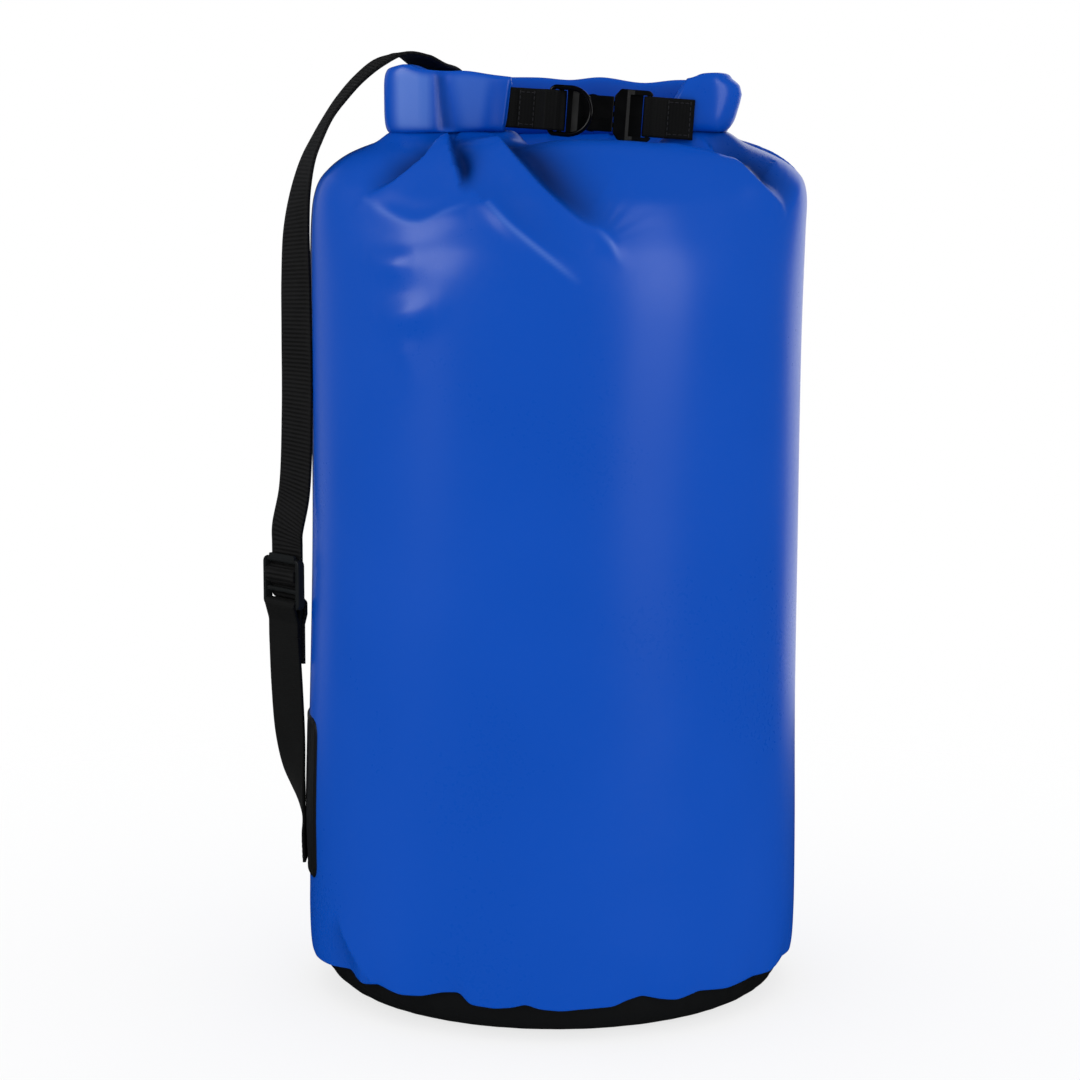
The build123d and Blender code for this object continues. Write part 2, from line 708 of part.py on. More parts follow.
# ---------------------------------------------------------------- build
def build():
    """Every piece by its node name."""
    return {
        "body_tube": body_tube(),
        "base_panel": base_panel(),
        "shoulder": shoulder(),
        "roll_top": roll_top(),
        "closure_stiffener": closure_stiffener(),
        "closure_strap_left": closure_strap_left(),
        "closure_strap_right": closure_strap_right(),
        "buckle_female": buckle_female(),
        "buckle_male": buckle_male(),
        "buckle_prong_upper": prong(1),
        "buckle_prong_lower": prong(-1),
        "closure_d_ring": closure_d_ring(),
        "lower_anchor_patch": lower_anchor_patch(),
        "upper_anchor_patch": upper_anchor_patch(),
        "anchor_tab": stitched_end(180, lower_tab_top - tab_length, tab_length),
        "webbing_tab": stitched_end(upper_anchor_angle, upper_tab_top - upper_tab_length, upper_tab_length),
        "anchor_strap": anchor_strap(),
        "strap_ladder_lock": strap_ladder_lock(),
        "webbing_turn": webbing_turn(),
        "webbing_tail": webbing_tail(),
        "shoulder_webbing": shoulder_webbing(),
    }


os.makedirs("parts", exist_ok=True)
for name, piece in build().items():
    export_step(piece, f"parts/{name}.step")
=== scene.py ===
"""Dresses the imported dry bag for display.

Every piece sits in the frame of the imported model, in metres: origin at the centre of the base on the ground,
+Z up, the clipped side of the closure towards -Y. Lengths below are written in millimetres times MM.
"""

import logging
import math
from collections.abc import Sequence
from dataclasses import dataclass
from enum import Enum

import bpy
import numpy as np
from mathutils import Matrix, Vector


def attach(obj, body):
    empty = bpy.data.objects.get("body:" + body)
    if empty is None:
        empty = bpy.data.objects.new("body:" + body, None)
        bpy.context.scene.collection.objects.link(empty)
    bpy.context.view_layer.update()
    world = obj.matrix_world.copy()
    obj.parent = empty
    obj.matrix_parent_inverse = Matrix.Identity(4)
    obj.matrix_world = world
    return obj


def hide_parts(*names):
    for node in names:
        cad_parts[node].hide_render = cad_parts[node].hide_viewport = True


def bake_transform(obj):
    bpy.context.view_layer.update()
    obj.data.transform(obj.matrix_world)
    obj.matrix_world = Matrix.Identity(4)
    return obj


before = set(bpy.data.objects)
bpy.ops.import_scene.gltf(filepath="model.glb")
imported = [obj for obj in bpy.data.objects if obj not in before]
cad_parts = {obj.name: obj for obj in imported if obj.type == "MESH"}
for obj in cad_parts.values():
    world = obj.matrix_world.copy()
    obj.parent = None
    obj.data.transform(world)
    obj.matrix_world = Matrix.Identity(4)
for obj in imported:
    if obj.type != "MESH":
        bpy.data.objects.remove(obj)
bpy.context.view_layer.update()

Colour = tuple[float, float, float, float]
Rows = tuple[tuple[float, ...], ...]

MM = 0.001
WALL_RADIUS = 120 * MM  # mean radius of the filled tube, which turns a width on the wall into an angle
log = logging.getLogger("dry_bag")


class Body(str, Enum):
    """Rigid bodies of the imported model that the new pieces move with."""

    BAG = "bag"
    MALE_HALF = "buckle_male_half"
    STRAP = "shoulder_strap"


# ---------------------------------------------------------------- curves and grids
def smoothstep(low: float, high: float, x: np.ndarray | float) -> np.ndarray:
    """Cubic ramp from 0 at low to 1 at high."""
    t = np.clip((x - low) / (high - low), 0.0, 1.0)
    return t * t * (3.0 - 2.0 * t)


def bell(x: np.ndarray | float, width: np.ndarray | float) -> np.ndarray:
    """Bell curve of unit height: exp of minus the square of x over width."""
    return np.exp(-((x / width) ** 2))


def unit(vectors: np.ndarray) -> np.ndarray:
    """Vectors scaled to length 1 along their last axis."""
    return vectors / np.maximum(np.linalg.norm(vectors, axis=-1, keepdims=True), 1e-12)


def lengths_along(points: np.ndarray) -> np.ndarray:
    """Distance travelled along a polyline at each of its points."""
    return np.concatenate([[0.0], np.cumsum(np.linalg.norm(np.diff(points, axis=0), axis=1))])


def smooth_curve(stations: np.ndarray, step: float) -> np.ndarray:
    """Even samples of the Catmull-Rom curve through stations.

    Args:
        stations: rows of any number of columns, of which the first three are the place.
        step: spacing of the samples in metres.

    Returns:
        Rows with the same columns as stations.
    """
    s = np.asarray(stations, float)
    s = np.vstack([2 * s[0] - s[1], s, 2 * s[-1] - s[-2]])
    knots = np.concatenate([[0.0], np.cumsum(np.linalg.norm(np.diff(s[:, :3], axis=0), axis=1) ** 0.5)])
    dense = []
    for i in range(1, len(s) - 2):
        t = np.linspace(knots[i], knots[i + 1], 60, endpoint=i == len(s) - 3)[:, None]
        k = knots[i - 1 : i + 3]
        a = [((k[n + 1] - t) * s[i - 1 + n] + (t - k[n]) * s[i + n]) / (k[n + 1] - k[n]) for n in range(3)]
        b = [((k[n + 2] - t) * a[n] + (t - k[n]) * a[n + 1]) / (k[n + 2] - k[n]) for n in range(2)]
        dense.append(((k[2] - t) * b[0] + (t - k[1]) * b[1]) / (k[2] - k[1]))
    return even_samples(np.vstack(dense), step)


def even_samples(points: np.ndarray, step: float) -> np.ndarray:
    """Samples of a polyline at an even spacing.

    Args:
        points: rows of two or more columns, of which the first three are the place.
        step: wanted spacing in metres.

    Returns:
        Rows with the same columns, spaced as near to step as a whole number of them allows.
    """
    run = lengths_along(points[:, :3])
    at = np.linspace(0.0, run[-1], max(2, round(run[-1] / step) + 1))
    return np.stack([np.interp(at, run, column) for column in points.T], axis=1)


def rounded_path(corners: np.ndarray, radius: float | np.ndarray, step: float) -> np.ndarray:
    """Polyline through corners with each inner corner rounded.

    Args:
        corners: rows of two or three coordinates.
        radius: one radius for all corners, or one for each inner corner.
        step: spacing of the samples in metres.

    Returns:
        Rows of as many coordinates as the corners have.
    """
    p = np.asarray(corners, float)
    radii = np.broadcast_to(radius, (len(p) - 2,))
    out = [p[0][None]]
    for before, corner, after, r in zip(p[:-2], p[1:-1], p[2:], radii):
        a, b = unit(before - corner), unit(after - corner)
        half = math.acos(float(np.clip(a @ b, -1, 1))) / 2
        cut = r / math.tan(half)
        middle = corner + unit(a + b) * r / math.sin(half)
        start, end = corner + a * cut - middle, corner + b * cut - middle
        whole = math.pi - 2 * half
        turn = np.linspace(0, whole, 12)[:, None]
        out.append(middle + (np.sin(whole - turn) * start + np.sin(turn) * end) / math.sin(whole))
    out.append(p[-1][None])
    return even_samples(np.vstack(out), step)


def grid_faces(rows: int, columns: int, wrap_columns: bool = False) -> np.ndarray:
    """Quads of a grid of vertices numbered row by row.

    Args:
        rows: number of rows of vertices.
        columns: number of vertices in each row.
        wrap_columns: whether the last column joins the first.

    Returns:
        Rows of four vertex numbers.
    """
    i = np.arange(rows - 1)[:, None]
    j = np.arange(columns if wrap_columns else columns - 1)[None, :]
    i2, j2 = i + 1, (j + 1) % columns
    quads = [i * columns + j, i * columns + j2, i2 * columns + j2, i2 * columns + j]
    return np.stack([np.broadcast_to(q, (i.size, j.size)) for q in quads], axis=-1).reshape(-1, 4)


def build_mesh(
    name: str,
    vertices: np.ndarray,
    quads: np.ndarray,
    uv: np.ndarray | None = None,
    extra_faces: Sequence[Sequence[int]] = (),
    crease: np.ndarray | None = None,
) -> bpy.types.Object:
    """Smooth shaded object from arrays.

    Args:
        name: name of the object.
        vertices: rows of three coordinates.
        quads: rows of four vertex numbers.
        uv: rows of two coordinates for each vertex, in metres on the cloth.
        extra_faces: further faces as lists of vertex numbers.
        crease: for each vertex, from -1 for full painted shade in the depth of a fold to 1 for full painted
            highlight on its crest.

    Returns:
        The new object, linked to the scene.
    """
    mesh = bpy.data.meshes.new(name)
    faces = quads.tolist() + [list(f) for f in extra_faces]
    mesh.from_pydata(np.asarray(vertices, float).tolist(), [], faces)
    if uv is not None:
        layer = mesh.uv_layers.new(name="cloth")
        corner = np.empty(len(mesh.loops), np.int32)
        mesh.loops.foreach_get("vertex_index", corner)
        layer.data.foreach_set("uv", np.asarray(uv, np.float32)[corner].ravel())
    if crease is not None:
        marks = mesh.attributes.new("crease", "FLOAT", "POINT")
        marks.data.foreach_set("value", np.asarray(crease, np.float32).ravel())
    mesh.polygons.foreach_set("use_smooth", np.ones(len(mesh.polygons), bool))
    mesh.update()
    piece = bpy.data.objects.new(name, mesh)
    bpy.context.collection.objects.link(piece)
    log.info("%s: %d vertices", name, len(mesh.vertices))
    return piece


# ---------------------------------------------------------------- the filled bag
@dataclass(frozen=True)
class Fold:
    """One fold of the cloth, along a line drawn on it.

    Attributes:
        line: rows of x, y, z, the height of the crest and the depth of the valley, in millimetres. The valley
            lies to the left of the line's direction, seen from outside.
        crest: reach of the swell on the raised side, in millimetres.
        lip: reach of the drop from the crest into the valley.
        valley: distance of the valley's bottom from the line.
        highlight_and_wear: strength of the painted highlight along the crest, from 0 to 1.
    """

    line: Rows
    crest: float
    lip: float
    valley: float = 5.0
    highlight_and_wear: float = 0.0
    darkest: float = 4.6  # depth of valley, in millimetres, at which the shade is full

    def lay(self, places: np.ndarray, normals: np.ndarray) -> tuple[np.ndarray, np.ndarray]:
        """Height of the fold, and its painted shade or painted highlight, at each place.

        At a distance d from the line the raised side is the crest's height times exp(-(d / crest)^2). The
        other side is that height times exp(-(d / lip)^2), less the valley's depth times x exp(1 - x) with
        x = d / valley.

        Args:
            places: rows of places on the skin.
            normals: outward normals there.

        Returns:
            The height in metres, and a share of painted colour, from -1 for full painted shade in the valley to
            1 for full painted highlight on the crest.
        """
        table = smooth_curve(np.asarray(self.line, float) * MM, 2.5 * MM)
        best = np.full(len(places), np.inf)
        side, rise, fall = np.zeros((3, len(places)))
        for start, end in zip(table[:-1], table[1:]):
            along = end[:3] - start[:3]
            t = np.clip((places - start[:3]) @ along / (along @ along), 0, 1)
            offset = places - (start[:3] + t[:, None] * along)
            distance = np.linalg.norm(offset, axis=1)
            near = distance < best
            best[near] = distance[near]
            side[near] = np.einsum("ij,ij->i", offset[near], np.cross(normals[near], along))
            rise[near], fall[near] = (start[k] + t[near] * (end[k] - start[k]) for k in (3, 4))
        d = best / MM
        x = d / self.valley
        valley = fall * x * np.exp(1 - x) * (side > 0)
        height = rise * np.where(side > 0, bell(d, self.lip), bell(d, self.crest)) - valley
        # painted highlight along the crest, less painted shade that grows with the valley's depth
        mark = self.highlight_and_wear * bell(d, 1.3) * np.minimum(rise / MM, 1.0) - valley / (self.darkest * MM)
        return height, mark


@dataclass
class BagSkin:
    """Blue tarpaulin from its puckered hem to the neck under the roll, as one surface of revolution.

    The profile is swept round a slightly leaning axis. Then the rim is drawn in at the front and back, the
    top sags inside the loop of the roll and rises into it, and the folds are laid over it.

    Attributes:
        roll_line: middle line of the roll seen from above.
        folds: the folds to lay over the skin.
        columns: number of columns of places round the bag.
        crowding: how much closer together the columns stand at the front, from 0 to 1.
        axis_start: distance of the axis from the frame's own at the ground, along X.
        axis_lean: how far the axis leans along X for each metre of height.
        hem_height: middle height of the hem.
        seam_turn: degrees round the bag to the middle of the welded lap.
        seam_half: half the width of the lap, in degrees.
        seam_step: thickness of the lap.
        side_swell: how far the wall swells beside the shoulder strap.
        front_pull: how far the rim is pulled in at the front, in millimetres.
        back_pull: the same at the back.
        inner_sag: depth of the top inside the loop of the roll.
        clip_sag: depth of the top under the clip's gap and under its male half's way.
        neck_height: height the top rises to under the roll.
    """

    roll_line: np.ndarray
    folds: tuple[Fold, ...]
    columns: int = 520
    crowding: float = 0.42
    axis_start: float = -2.0 * MM
    axis_lean: float = 0.013
    hem_height: float = 17 * MM
    seam_turn: float = 50.0
    seam_half: float = 6.0
    seam_step: float = 0.9 * MM
    side_swell: float = 2.4 * MM
    front_pull: float = 15.0
    back_pull: float = 11.0
    inner_sag: float = 13 * MM
    clip_sag: float = 6 * MM
    neck_height: float = 422 * MM

    # radius and height of the profile, from the hem's inner edge to the middle of the top
    PROFILE = np.array(
        [(117.2, 20), (118.4, 16.9), (120.0, 16.6), (121.0, 20), (121.8, 37), (121.2, 80), (119.7, 150),
         (118.9, 240), (119.3, 320), (119.9, 372), (119.7, 391), (117.6, 398.5), (113.2, 404), (106.6, 409),
         (99, 412.8), (91, 415.6), (80, 417.6), (60, 418.5), (30, 418.5), (1.5, 418.5)]
    ) * MM  # fmt: skip
    # degrees round the bag and height of the hem in millimetres
    HEM = np.array(
        [(-176, 17.6), (-166, 16.3), (-155, 17.8), (-145.5, 20.2), (-139.5, 16.7), (-134, 18.6), (-127, 16.1),
         (-121, 17.6), (-116, 20.7), (-111.7, 21.7), (-108.6, 16.6), (-103, 15.6), (-99, 16.6), (-96, 18.3),
         (-92.7, 16.1), (-88, 15.1), (-83.7, 15.9), (-76.3, 16.5), (-73, 18.9), (-69.2, 20.5), (-65, 18),
         (-60.6, 16.3), (-54.4, 18.6), (-45.8, 16.6), (-36, 18), (-28, 16.2), (-18, 18.5), (-8, 16.4),
         (4, 17.5), (14, 20.2), (22, 16.3), (35, 17), (47, 19.6), (58, 16.5), (71, 16.2), (83, 19.2), (95, 16.4),
         (108, 17.8), (117, 20.5), (128, 16.3), (141, 17.4), (152, 16.5), (163, 19.8), (174, 16.4)]
    )  # fmt: skip

    # distances along the profile between which the rows keep one spacing, and those spacings
    ROW_KNOTS = np.array([0, 9, 60, 300, 455, 520]) * MM
    ROW_STEPS = np.array([0.9, 2.2, 7.0, 1.5, 3.5]) * MM

    def __post_init__(self) -> None:
        """Work out the places of the finished skin."""
        self.curve = smooth_curve(np.column_stack([self.PROFILE, np.zeros(len(self.PROFILE))]), 0.5 * MM)
        self.curve_runs = lengths_along(self.curve)
        self.runs = self._row_runs()
        self.angles = self._column_angles()
        self.places = self._lay()

    def _row_runs(self) -> np.ndarray:
        """Distances along the profile of the rows: close at the hem and over the rim, wide on the wall."""
        total = self.curve_runs[-1]
        spans = zip(self.ROW_KNOTS[:-1], self.ROW_KNOTS[1:], self.ROW_STEPS)
        rows = np.concatenate([np.arange(start, end, step) for start, end, step in spans])
        return np.append(rows[rows < total - 0.5 * MM], total)

    def _column_angles(self) -> np.ndarray:
        """Angles of the columns, closer together at the front."""
        even = 2 * math.pi * (np.linspace(0, 1, self.columns, endpoint=False) - 0.5)
        return -math.pi / 2 + even - self.crowding * np.sin(even)

    def _lay(self) -> np.ndarray:
        """Grid of places of the finished skin.

        The wall's radius gains the welded lap, a sway of two sines of the angle and height, and the swell
        beside the shoulder strap.
        """
        run, angle = np.meshgrid(self.runs, self.angles, indexing="ij")
        radius = np.interp(run, self.curve_runs, self.curve[:, 0])
        height = np.interp(run, self.curve_runs, self.curve[:, 1])
        turn = np.degrees(angle)
        low = 1 - smoothstep(0, 30 * MM, run)
        hem = self._hem(turn)
        height = height + hem * low
        radius = radius - np.maximum(hem, 0) * 0.55 * low
        wall = 1 - smoothstep(360 * MM, 398 * MM, run)
        seam = smoothstep(0, 0.8, self.seam_half - np.abs((turn - self.seam_turn + 180) % 360 - 180))
        radius = radius + self.seam_step * seam * wall
        sway = np.sin(3 * angle + 1.1) * np.sin(height / MM / 33 + 0.7)
        sway = sway + np.sin(5 * angle - 0.4 + height / MM / 61)
        radius = radius + 0.35 * MM * sway * smoothstep(40 * MM, 90 * MM, height) * wall
        beside = bell(np.abs(angle + math.pi), 0.42) * smoothstep(45 * MM, 90 * MM, height) * wall
        radius = radius + self.side_swell * beside
        places = self._round(radius, angle, height)
        places = self._draw_in(places, run, angle)
        places = self._settle(places)
        return self._fold(places)

    def _hem(self, turn: np.ndarray) -> np.ndarray:
        """Height of the hem above its middle, its puckers rounded by a weighted mean over two degrees.

        Args:
            turn: angles in degrees.

        Returns:
            Heights in metres, of the same shape.
        """
        offsets = np.arange(-3, 4) * 0.45
        shares = bell(offsets, 1.0)
        waves = [share * np.interp(turn + o, *self.HEM.T, period=360) for share, o in zip(shares, offsets)]
        return sum(waves) / shares.sum() * MM - self.hem_height

    def _round(self, radius: np.ndarray, angle: np.ndarray, height: np.ndarray) -> np.ndarray:
        """Places at a radius and angle round the leaning axis."""
        axis = self.axis_start + self.axis_lean * height
        return np.stack([axis + radius * np.cos(angle), radius * np.sin(angle), height], axis=-1)

    def _draw_in(self, places: np.ndarray, run: np.ndarray, angle: np.ndarray) -> np.ndarray:
        """Move the rim in and down at the front and back, where the cloth is pulled towards the roll.

        Args:
            places: grid of places.
            run: distance along the profile at each of them.
            angle: angle round the bag at each of them.

        Returns:
            The grid moved by a bell curve of the distance from the rim.
        """
        front = smoothstep(0.25, 0.85, np.cos(angle + math.pi / 2))
        back = smoothstep(0.3, 0.9, np.cos(angle - math.pi / 2))
        rim = np.interp(400 * MM, self.curve[:, 1], self.curve_runs)
        cut = (self.front_pull * front + self.back_pull * back) * MM * bell(run - rim, 30 * MM)
        way = np.stack([-0.8 * np.cos(angle), -0.8 * np.sin(angle), np.full(angle.shape, -0.6)], axis=-1)
        return places + cut[..., None] * way

    def _settle(self, places: np.ndarray) -> np.ndarray:
        """Sag inside the roll's loop and under the clip, and rise into the roll along its line.

        Args:
            places: grid of places.

        Returns:
            The grid with new heights above the wall.
        """
        x, y, z = places[..., 0], places[..., 1], places[..., 2]
        top = z > 380 * MM
        inside = smoothstep(-68, -52, x / MM) * smoothstep(-75, -60, -x / MM)
        inside = inside * smoothstep(-36, -16, y / MM) * smoothstep(-31, -16, -y / MM)
        gap = smoothstep(-24, -10, x / MM) * smoothstep(-58, -42, -x / MM) * bell(y / MM + 32, 26)
        slide = smoothstep(12, 30, x / MM) * smoothstep(-93, -78, -x / MM) * bell(y / MM + 47, 9)
        sag = self.inner_sag * inside + self.clip_sag * gap * (1 - inside) + self.clip_sag * slide
        distance = np.full(z.shape, np.inf)
        distance[top] = self._distance_to_roll(places[top])
        rise = bell(distance, (7.5 - 2.8 * slide) * MM)
        height = np.where(top, z - sag, z)
        height = height + rise * np.maximum(self.neck_height - height, 0)
        return np.stack([x, y, height], axis=-1)

    def _distance_to_roll(self, places: np.ndarray) -> np.ndarray:
        """Distance of each place from the roll's middle line, seen from above."""
        line = self.roll_line[:, :2]
        best = np.full(len(places), np.inf)
        for point in even_samples(line, 1.5 * MM):
            best = np.minimum(best, np.hypot(places[:, 0] - point[0], places[:, 1] - point[1]))
        return best

    def _fold(self, places: np.ndarray) -> np.ndarray:
        """Lay the folds over the top and the hem, and keep their painted shade and painted highlight.

        Args:
            places: grid of places of the skin without folds.

        Returns:
            The grid moved along its normals.
        """
        normals = self.normals(places)
        creased = (places[..., 2] > 250 * MM) | (places[..., 2] < 70 * MM)
        lift, marks = np.zeros((2, *places.shape[:2]))
        for fold in self.folds:
            height, mark = fold.lay(places[creased], normals[creased])
            lift[creased] += height
            marks[creased] += mark
        # painted shade of the valleys and painted highlight of the crests, for the colour of the cloth
        self.crease = np.clip(marks, -1, 1)
        return places + lift[..., None] * normals

    @staticmethod
    def normals(places: np.ndarray) -> np.ndarray:
        """Outward normals of a grid whose columns run once round."""
        across = np.roll(places, -1, axis=1) - np.roll(places, 1, axis=1)
        along = np.gradient(places, axis=0)
        return unit(np.cross(across, along))

    def build(self, name: str) -> bpy.types.Object:
        """The skin as one object, closed at its middle by one flat face."""
        rows, columns = self.places.shape[:2]
        quads = grid_faces(rows, columns, wrap_columns=True)
        uv = np.stack(np.meshgrid(self.runs, self.angles * WALL_RADIUS, indexing="ij")[::-1], axis=-1)
        last = (rows - 1) * columns
        top = [range(last, last + columns)]
        places = self.places.reshape(-1, 3)
        return build_mesh(name, places, quads, uv.reshape(-1, 2), top, self.crease.ravel())

    def on_wall(self, angle: np.ndarray, height: np.ndarray, offset: np.ndarray) -> np.ndarray:
        """Places at a distance off the wall, by angle and height.

        Args:
            angle: angles in radians.
            height: heights.
            offset: distances off the skin.

        Returns:
            Rows of three coordinates.
        """
        run = np.interp(height, *self._heights())
        row = np.interp(run, self.runs, np.arange(len(self.runs)))
        first = self.angles[0]
        ring = np.append(self.angles, first + 2 * math.pi)
        column = np.interp((angle - first) % (2 * math.pi) + first, ring, np.arange(len(ring)))
        normals = self.normals(self.places)
        place, normal = (self._between(grid, row, column) for grid in (self.places, normals))
        return place + unit(normal) * offset[..., None]

    def _heights(self) -> tuple[np.ndarray, np.ndarray]:
        """Heights on the profile's wall and the distances along it there."""
        wall = slice(int(np.argmin(self.curve[:60, 1])), int(np.argmax(self.curve[:, 1] > 395 * MM)))
        return self.curve[wall, 1], self.curve_runs[wall]

    @staticmethod
    def _between(grid: np.ndarray, row: np.ndarray, column: np.ndarray) -> np.ndarray:
        """Values of a grid between its rows and columns.

        Args:
            grid: values by row and column, the columns running once round.
            row: numbers of rows, with their fractions.
            column: numbers of columns, with their fractions.

        Returns:
            Values blended from the four nearest ones.
        """
        rows, columns = grid.shape[:2]
        r, c = np.clip(row.astype(int), 0, rows - 2), np.floor(column).astype(int)
        a, b = (row - r)[..., None], (column - c)[..., None]
        c0, c1 = c % columns, (c + 1) % columns
        low = grid[r, c0] * (1 - b) + grid[r, c1] * b
        high = grid[r + 1, c0] * (1 - b) + grid[r + 1, c1] * b
        return low * (1 - a) + high * a


@dataclass(frozen=True)
class BasePan:
    """Black pan under the tube: a flat underside, a soft corner and a wall that runs up inside the hem."""

    radius: float = 115.6 * MM
    corner: float = 19 * MM
    height: float = 36 * MM
    flat_rings: int = 30
    columns: int = 360

    def build(self, name: str) -> bpy.types.Object:
        """The pan as a grid round its middle, with faint folds over the corner."""
        turn = np.linspace(0, math.pi / 2, 16)
        flat = self.radius - self.corner
        under = np.linspace(2 * MM, flat, self.flat_rings)
        radius = np.concatenate([under, flat + self.corner * np.sin(turn[1:])])
        height = np.concatenate([0 * under, self.corner * (1 - np.cos(turn[1:]))])
        radius = np.append(radius, [self.radius, self.radius])
        height = np.append(height, [27 * MM, self.height])
        angle = np.linspace(-math.pi, math.pi, self.columns, endpoint=False)
        r, a = np.meshgrid(radius, angle, indexing="ij")
        z = np.broadcast_to(height[:, None], r.shape)
        bend = bell(z - 10 * MM, 9 * MM) * (r > flat)
        crease = np.sin(17 * a + 0.8) + 0.6 * np.sin(29 * a + 2.1) + 0.5 * np.sin(41 * a)
        r = r - 0.5 * MM * bend * np.abs(crease)
        x = r * np.cos(a) - 1.8 * MM * smoothstep(0, 20 * MM, z)
        places = np.stack([x, r * np.sin(a), z], axis=-1)
        quads = grid_faces(len(radius), len(angle), wrap_columns=True)
        uv = np.stack([r * np.cos(a), r * np.sin(a) + z], axis=-1)
        middle = [range(len(angle) - 1, -1, -1)]
        return build_mesh(name, places.reshape(-1, 3), quads, uv.reshape(-1, 2), middle)


# ---------------------------------------------------------------- the rolled mouth
@dataclass
class RolledMouth:
    """Mouth of the bag rolled into a soft bar and bent into a C, its spiral of plies showing at both ends.

    Attributes:
        spacing: spacing of the rings along the roll.
        around: number of places round each ring.
        cap_rings: number of rings from the rim of an end face to its middle.
        plies: turns of the spiral seen on an end face.
        girth: length of cloth round the roll.
    """

    spacing: float = 1.5 * MM
    around: int = 72
    cap_rings: int = 29
    plies: int = 5
    girth: float = 75 * MM

    # corners of the roll's middle line seen from above, and the radii that round the inner ones
    CORNERS = np.array(
        [(-22.6, -36), (-60.5, -36), (-76, -27.5), (-76, 38), (81, 38), (81, -36), (57.5, -36)]
    ) * MM  # fmt: skip
    RADII = np.array([9, 7, 12, 13, 8]) * MM
    # distance along the roll, height of its top and underside, half depth and squareness
    FORM = np.array(
        [(0, 446.6, 420.6, 5.9, 0.3), (8, 447.6, 420.5, 6.0, 0.3), (20, 449.4, 420.4, 6.0, 0.3),
         (31, 449.4, 420.4, 6.0, 0.34), (41, 450.2, 420.2, 6.1, 0.3), (50, 452.6, 420.0, 6.6, 0.3),
         (58, 451.6, 420.0, 6.3, 0.45), (90, 449.6, 419.6, 6.3, 0.6), (120, 449.6, 419.6, 6.6, 0.6),
         (150, 448.9, 419.6, 6.4, 0.6), (190, 448.9, 419.6, 6.4, 0.6), (206, 447.7, 419.6, 6.2, 0.6),
         (222, 448.9, 419.6, 6.5, 0.6), (244, 446.3, 419.6, 6.2, 0.6), (262, 447.6, 419.6, 6.6, 0.55),
         (300, 446.4, 419.6, 6.3, 0.6), (330, 447.2, 420.2, 6.4, 0.6), (349, 448.6, 420.6, 6.8, 0.5),
         (362, 448.2, 420.8, 6.4, 0.5), (374, 446.0, 421.2, 5.9, 0.62)]
    )  # fmt: skip
    # height in millimetres and reach of the right lobe's bulge there
    LIP = np.array([(421, -4.2), (426, -2), (438, 1.4), (443, 0.4), (446, -2.6)])

    def __post_init__(self) -> None:
        """Work out the middle line and its directions."""
        self.line = rounded_path(self.CORNERS, self.RADII, self.spacing)
        self.runs = lengths_along(self.line)
        self.along = unit(np.gradient(self.line, axis=0))
        self.out = np.stack([-self.along[:, 1], self.along[:, 0]], axis=1)

    def form(self) -> tuple[np.ndarray, np.ndarray, np.ndarray, np.ndarray]:
        """Top, underside, half depth and squareness at the samples of the middle line."""
        table = smooth_curve(np.insert(self.FORM, [1, 1], 0, axis=1), 1.0)
        share = self.runs / self.runs[-1] * self.FORM[-1, 0]
        top, low, depth, square = (np.interp(share, table[:, 0], table[:, k]) for k in (3, 4, 5, 6))
        return top * MM, low * MM, depth * MM, square

    def rings(self) -> tuple[np.ndarray, np.ndarray]:
        """Rings round the roll, one for each sample of its line.

        A ring is a superellipse: the cosine and sine of the turn, raised to the squareness. Bell curves along
        the roll swell and dent its outer side.

        Returns:
            The places, and the share of painted light there, from -1 for painted shade in a crease to 1 for
            painted highlight.
        """
        top, low, depth, square = (v[:, None] for v in self.form())
        turn = np.linspace(0, 2 * math.pi, self.around, endpoint=False)[None, :]
        c, s = np.cos(turn), np.sin(turn)
        out = depth * np.sign(c) * np.abs(c) ** square
        up = (top - low) / 2 * np.sign(s) * np.abs(s) ** square
        run = self.runs[:, None] / MM
        front = smoothstep(0.2, 0.9, c)
        lean = run - 0.12 * up / MM
        dent = 1.5 * bell(lean - 11, 7) - 2.2 * bell(lean - 30.5, 4.5)
        dent = dent - 0.9 * bell(run - 206 - 0.3 * up / MM, 6) - 1.0 * bell(run - 244 + 0.2 * up / MM, 5)
        dent = dent - 0.8 * bell(run - 96 + 0.25 * up / MM, 6) - 0.8 * bell(run - 308, 7)
        out = out + dent * MM * front
        sway = 0.35 * np.sin(run / 9.0 + 2 * turn) + 0.25 * np.sin(run / 5.3 - turn)
        out, up = out * (1 + 0.06 * sway), up * (1 + 0.012 * sway)
        middle = (top + low) / 2
        places = np.empty((len(self.runs), self.around, 3))
        places[..., :2] = self.line[:, None, :] + out[..., None] * self.out[:, None, :]
        places[..., 2] = middle + up
        slant = 0.13 * (places[..., 2] - 435 * MM) * (1 - smoothstep(0, 16, run))
        slant = slant + 0.55 * (places[..., 2] - 437 * MM) * smoothstep(-14, 0, run - self.runs[-1] / MM)
        right = smoothstep(74, 84, places[..., 0] / MM) * smoothstep(30, 10, places[..., 1] / MM)
        lip = np.interp(places[..., 2] / MM, *self.LIP.T) * MM
        places[..., 0] += slant + lip * right
        return places, self._painted_light(run, turn, up / (top - low) * 2)

    @staticmethod
    def _painted_light(run: np.ndarray, turn: np.ndarray, lift: np.ndarray) -> np.ndarray:
        """Painted highlight on the two flattened panels of the clipped side, and painted shade in the crease
        between them.

        Args:
            run: distance along the roll in millimetres.
            turn: angle round the ring.
            lift: height above the ring's middle, from -1 to 1.

        Returns:
            Share of painted highlight, below 0 for painted shade in the crease between the panels.
        """
        front = smoothstep(0.5, 0.9, np.cos(turn)) * smoothstep(1, 0.7, np.abs(lift))
        first = smoothstep(8, 14, run + 2 * lift) * smoothstep(28, 20, run - 3 * lift)
        second = smoothstep(34, 38, run) * smoothstep(54, 49, run)
        # painted highlight on both panels, less painted shade along the crease between them
        return (0.5 * first + 1.0 * second - 0.45 * bell(run - 31 - 2 * lift, 3)) * front

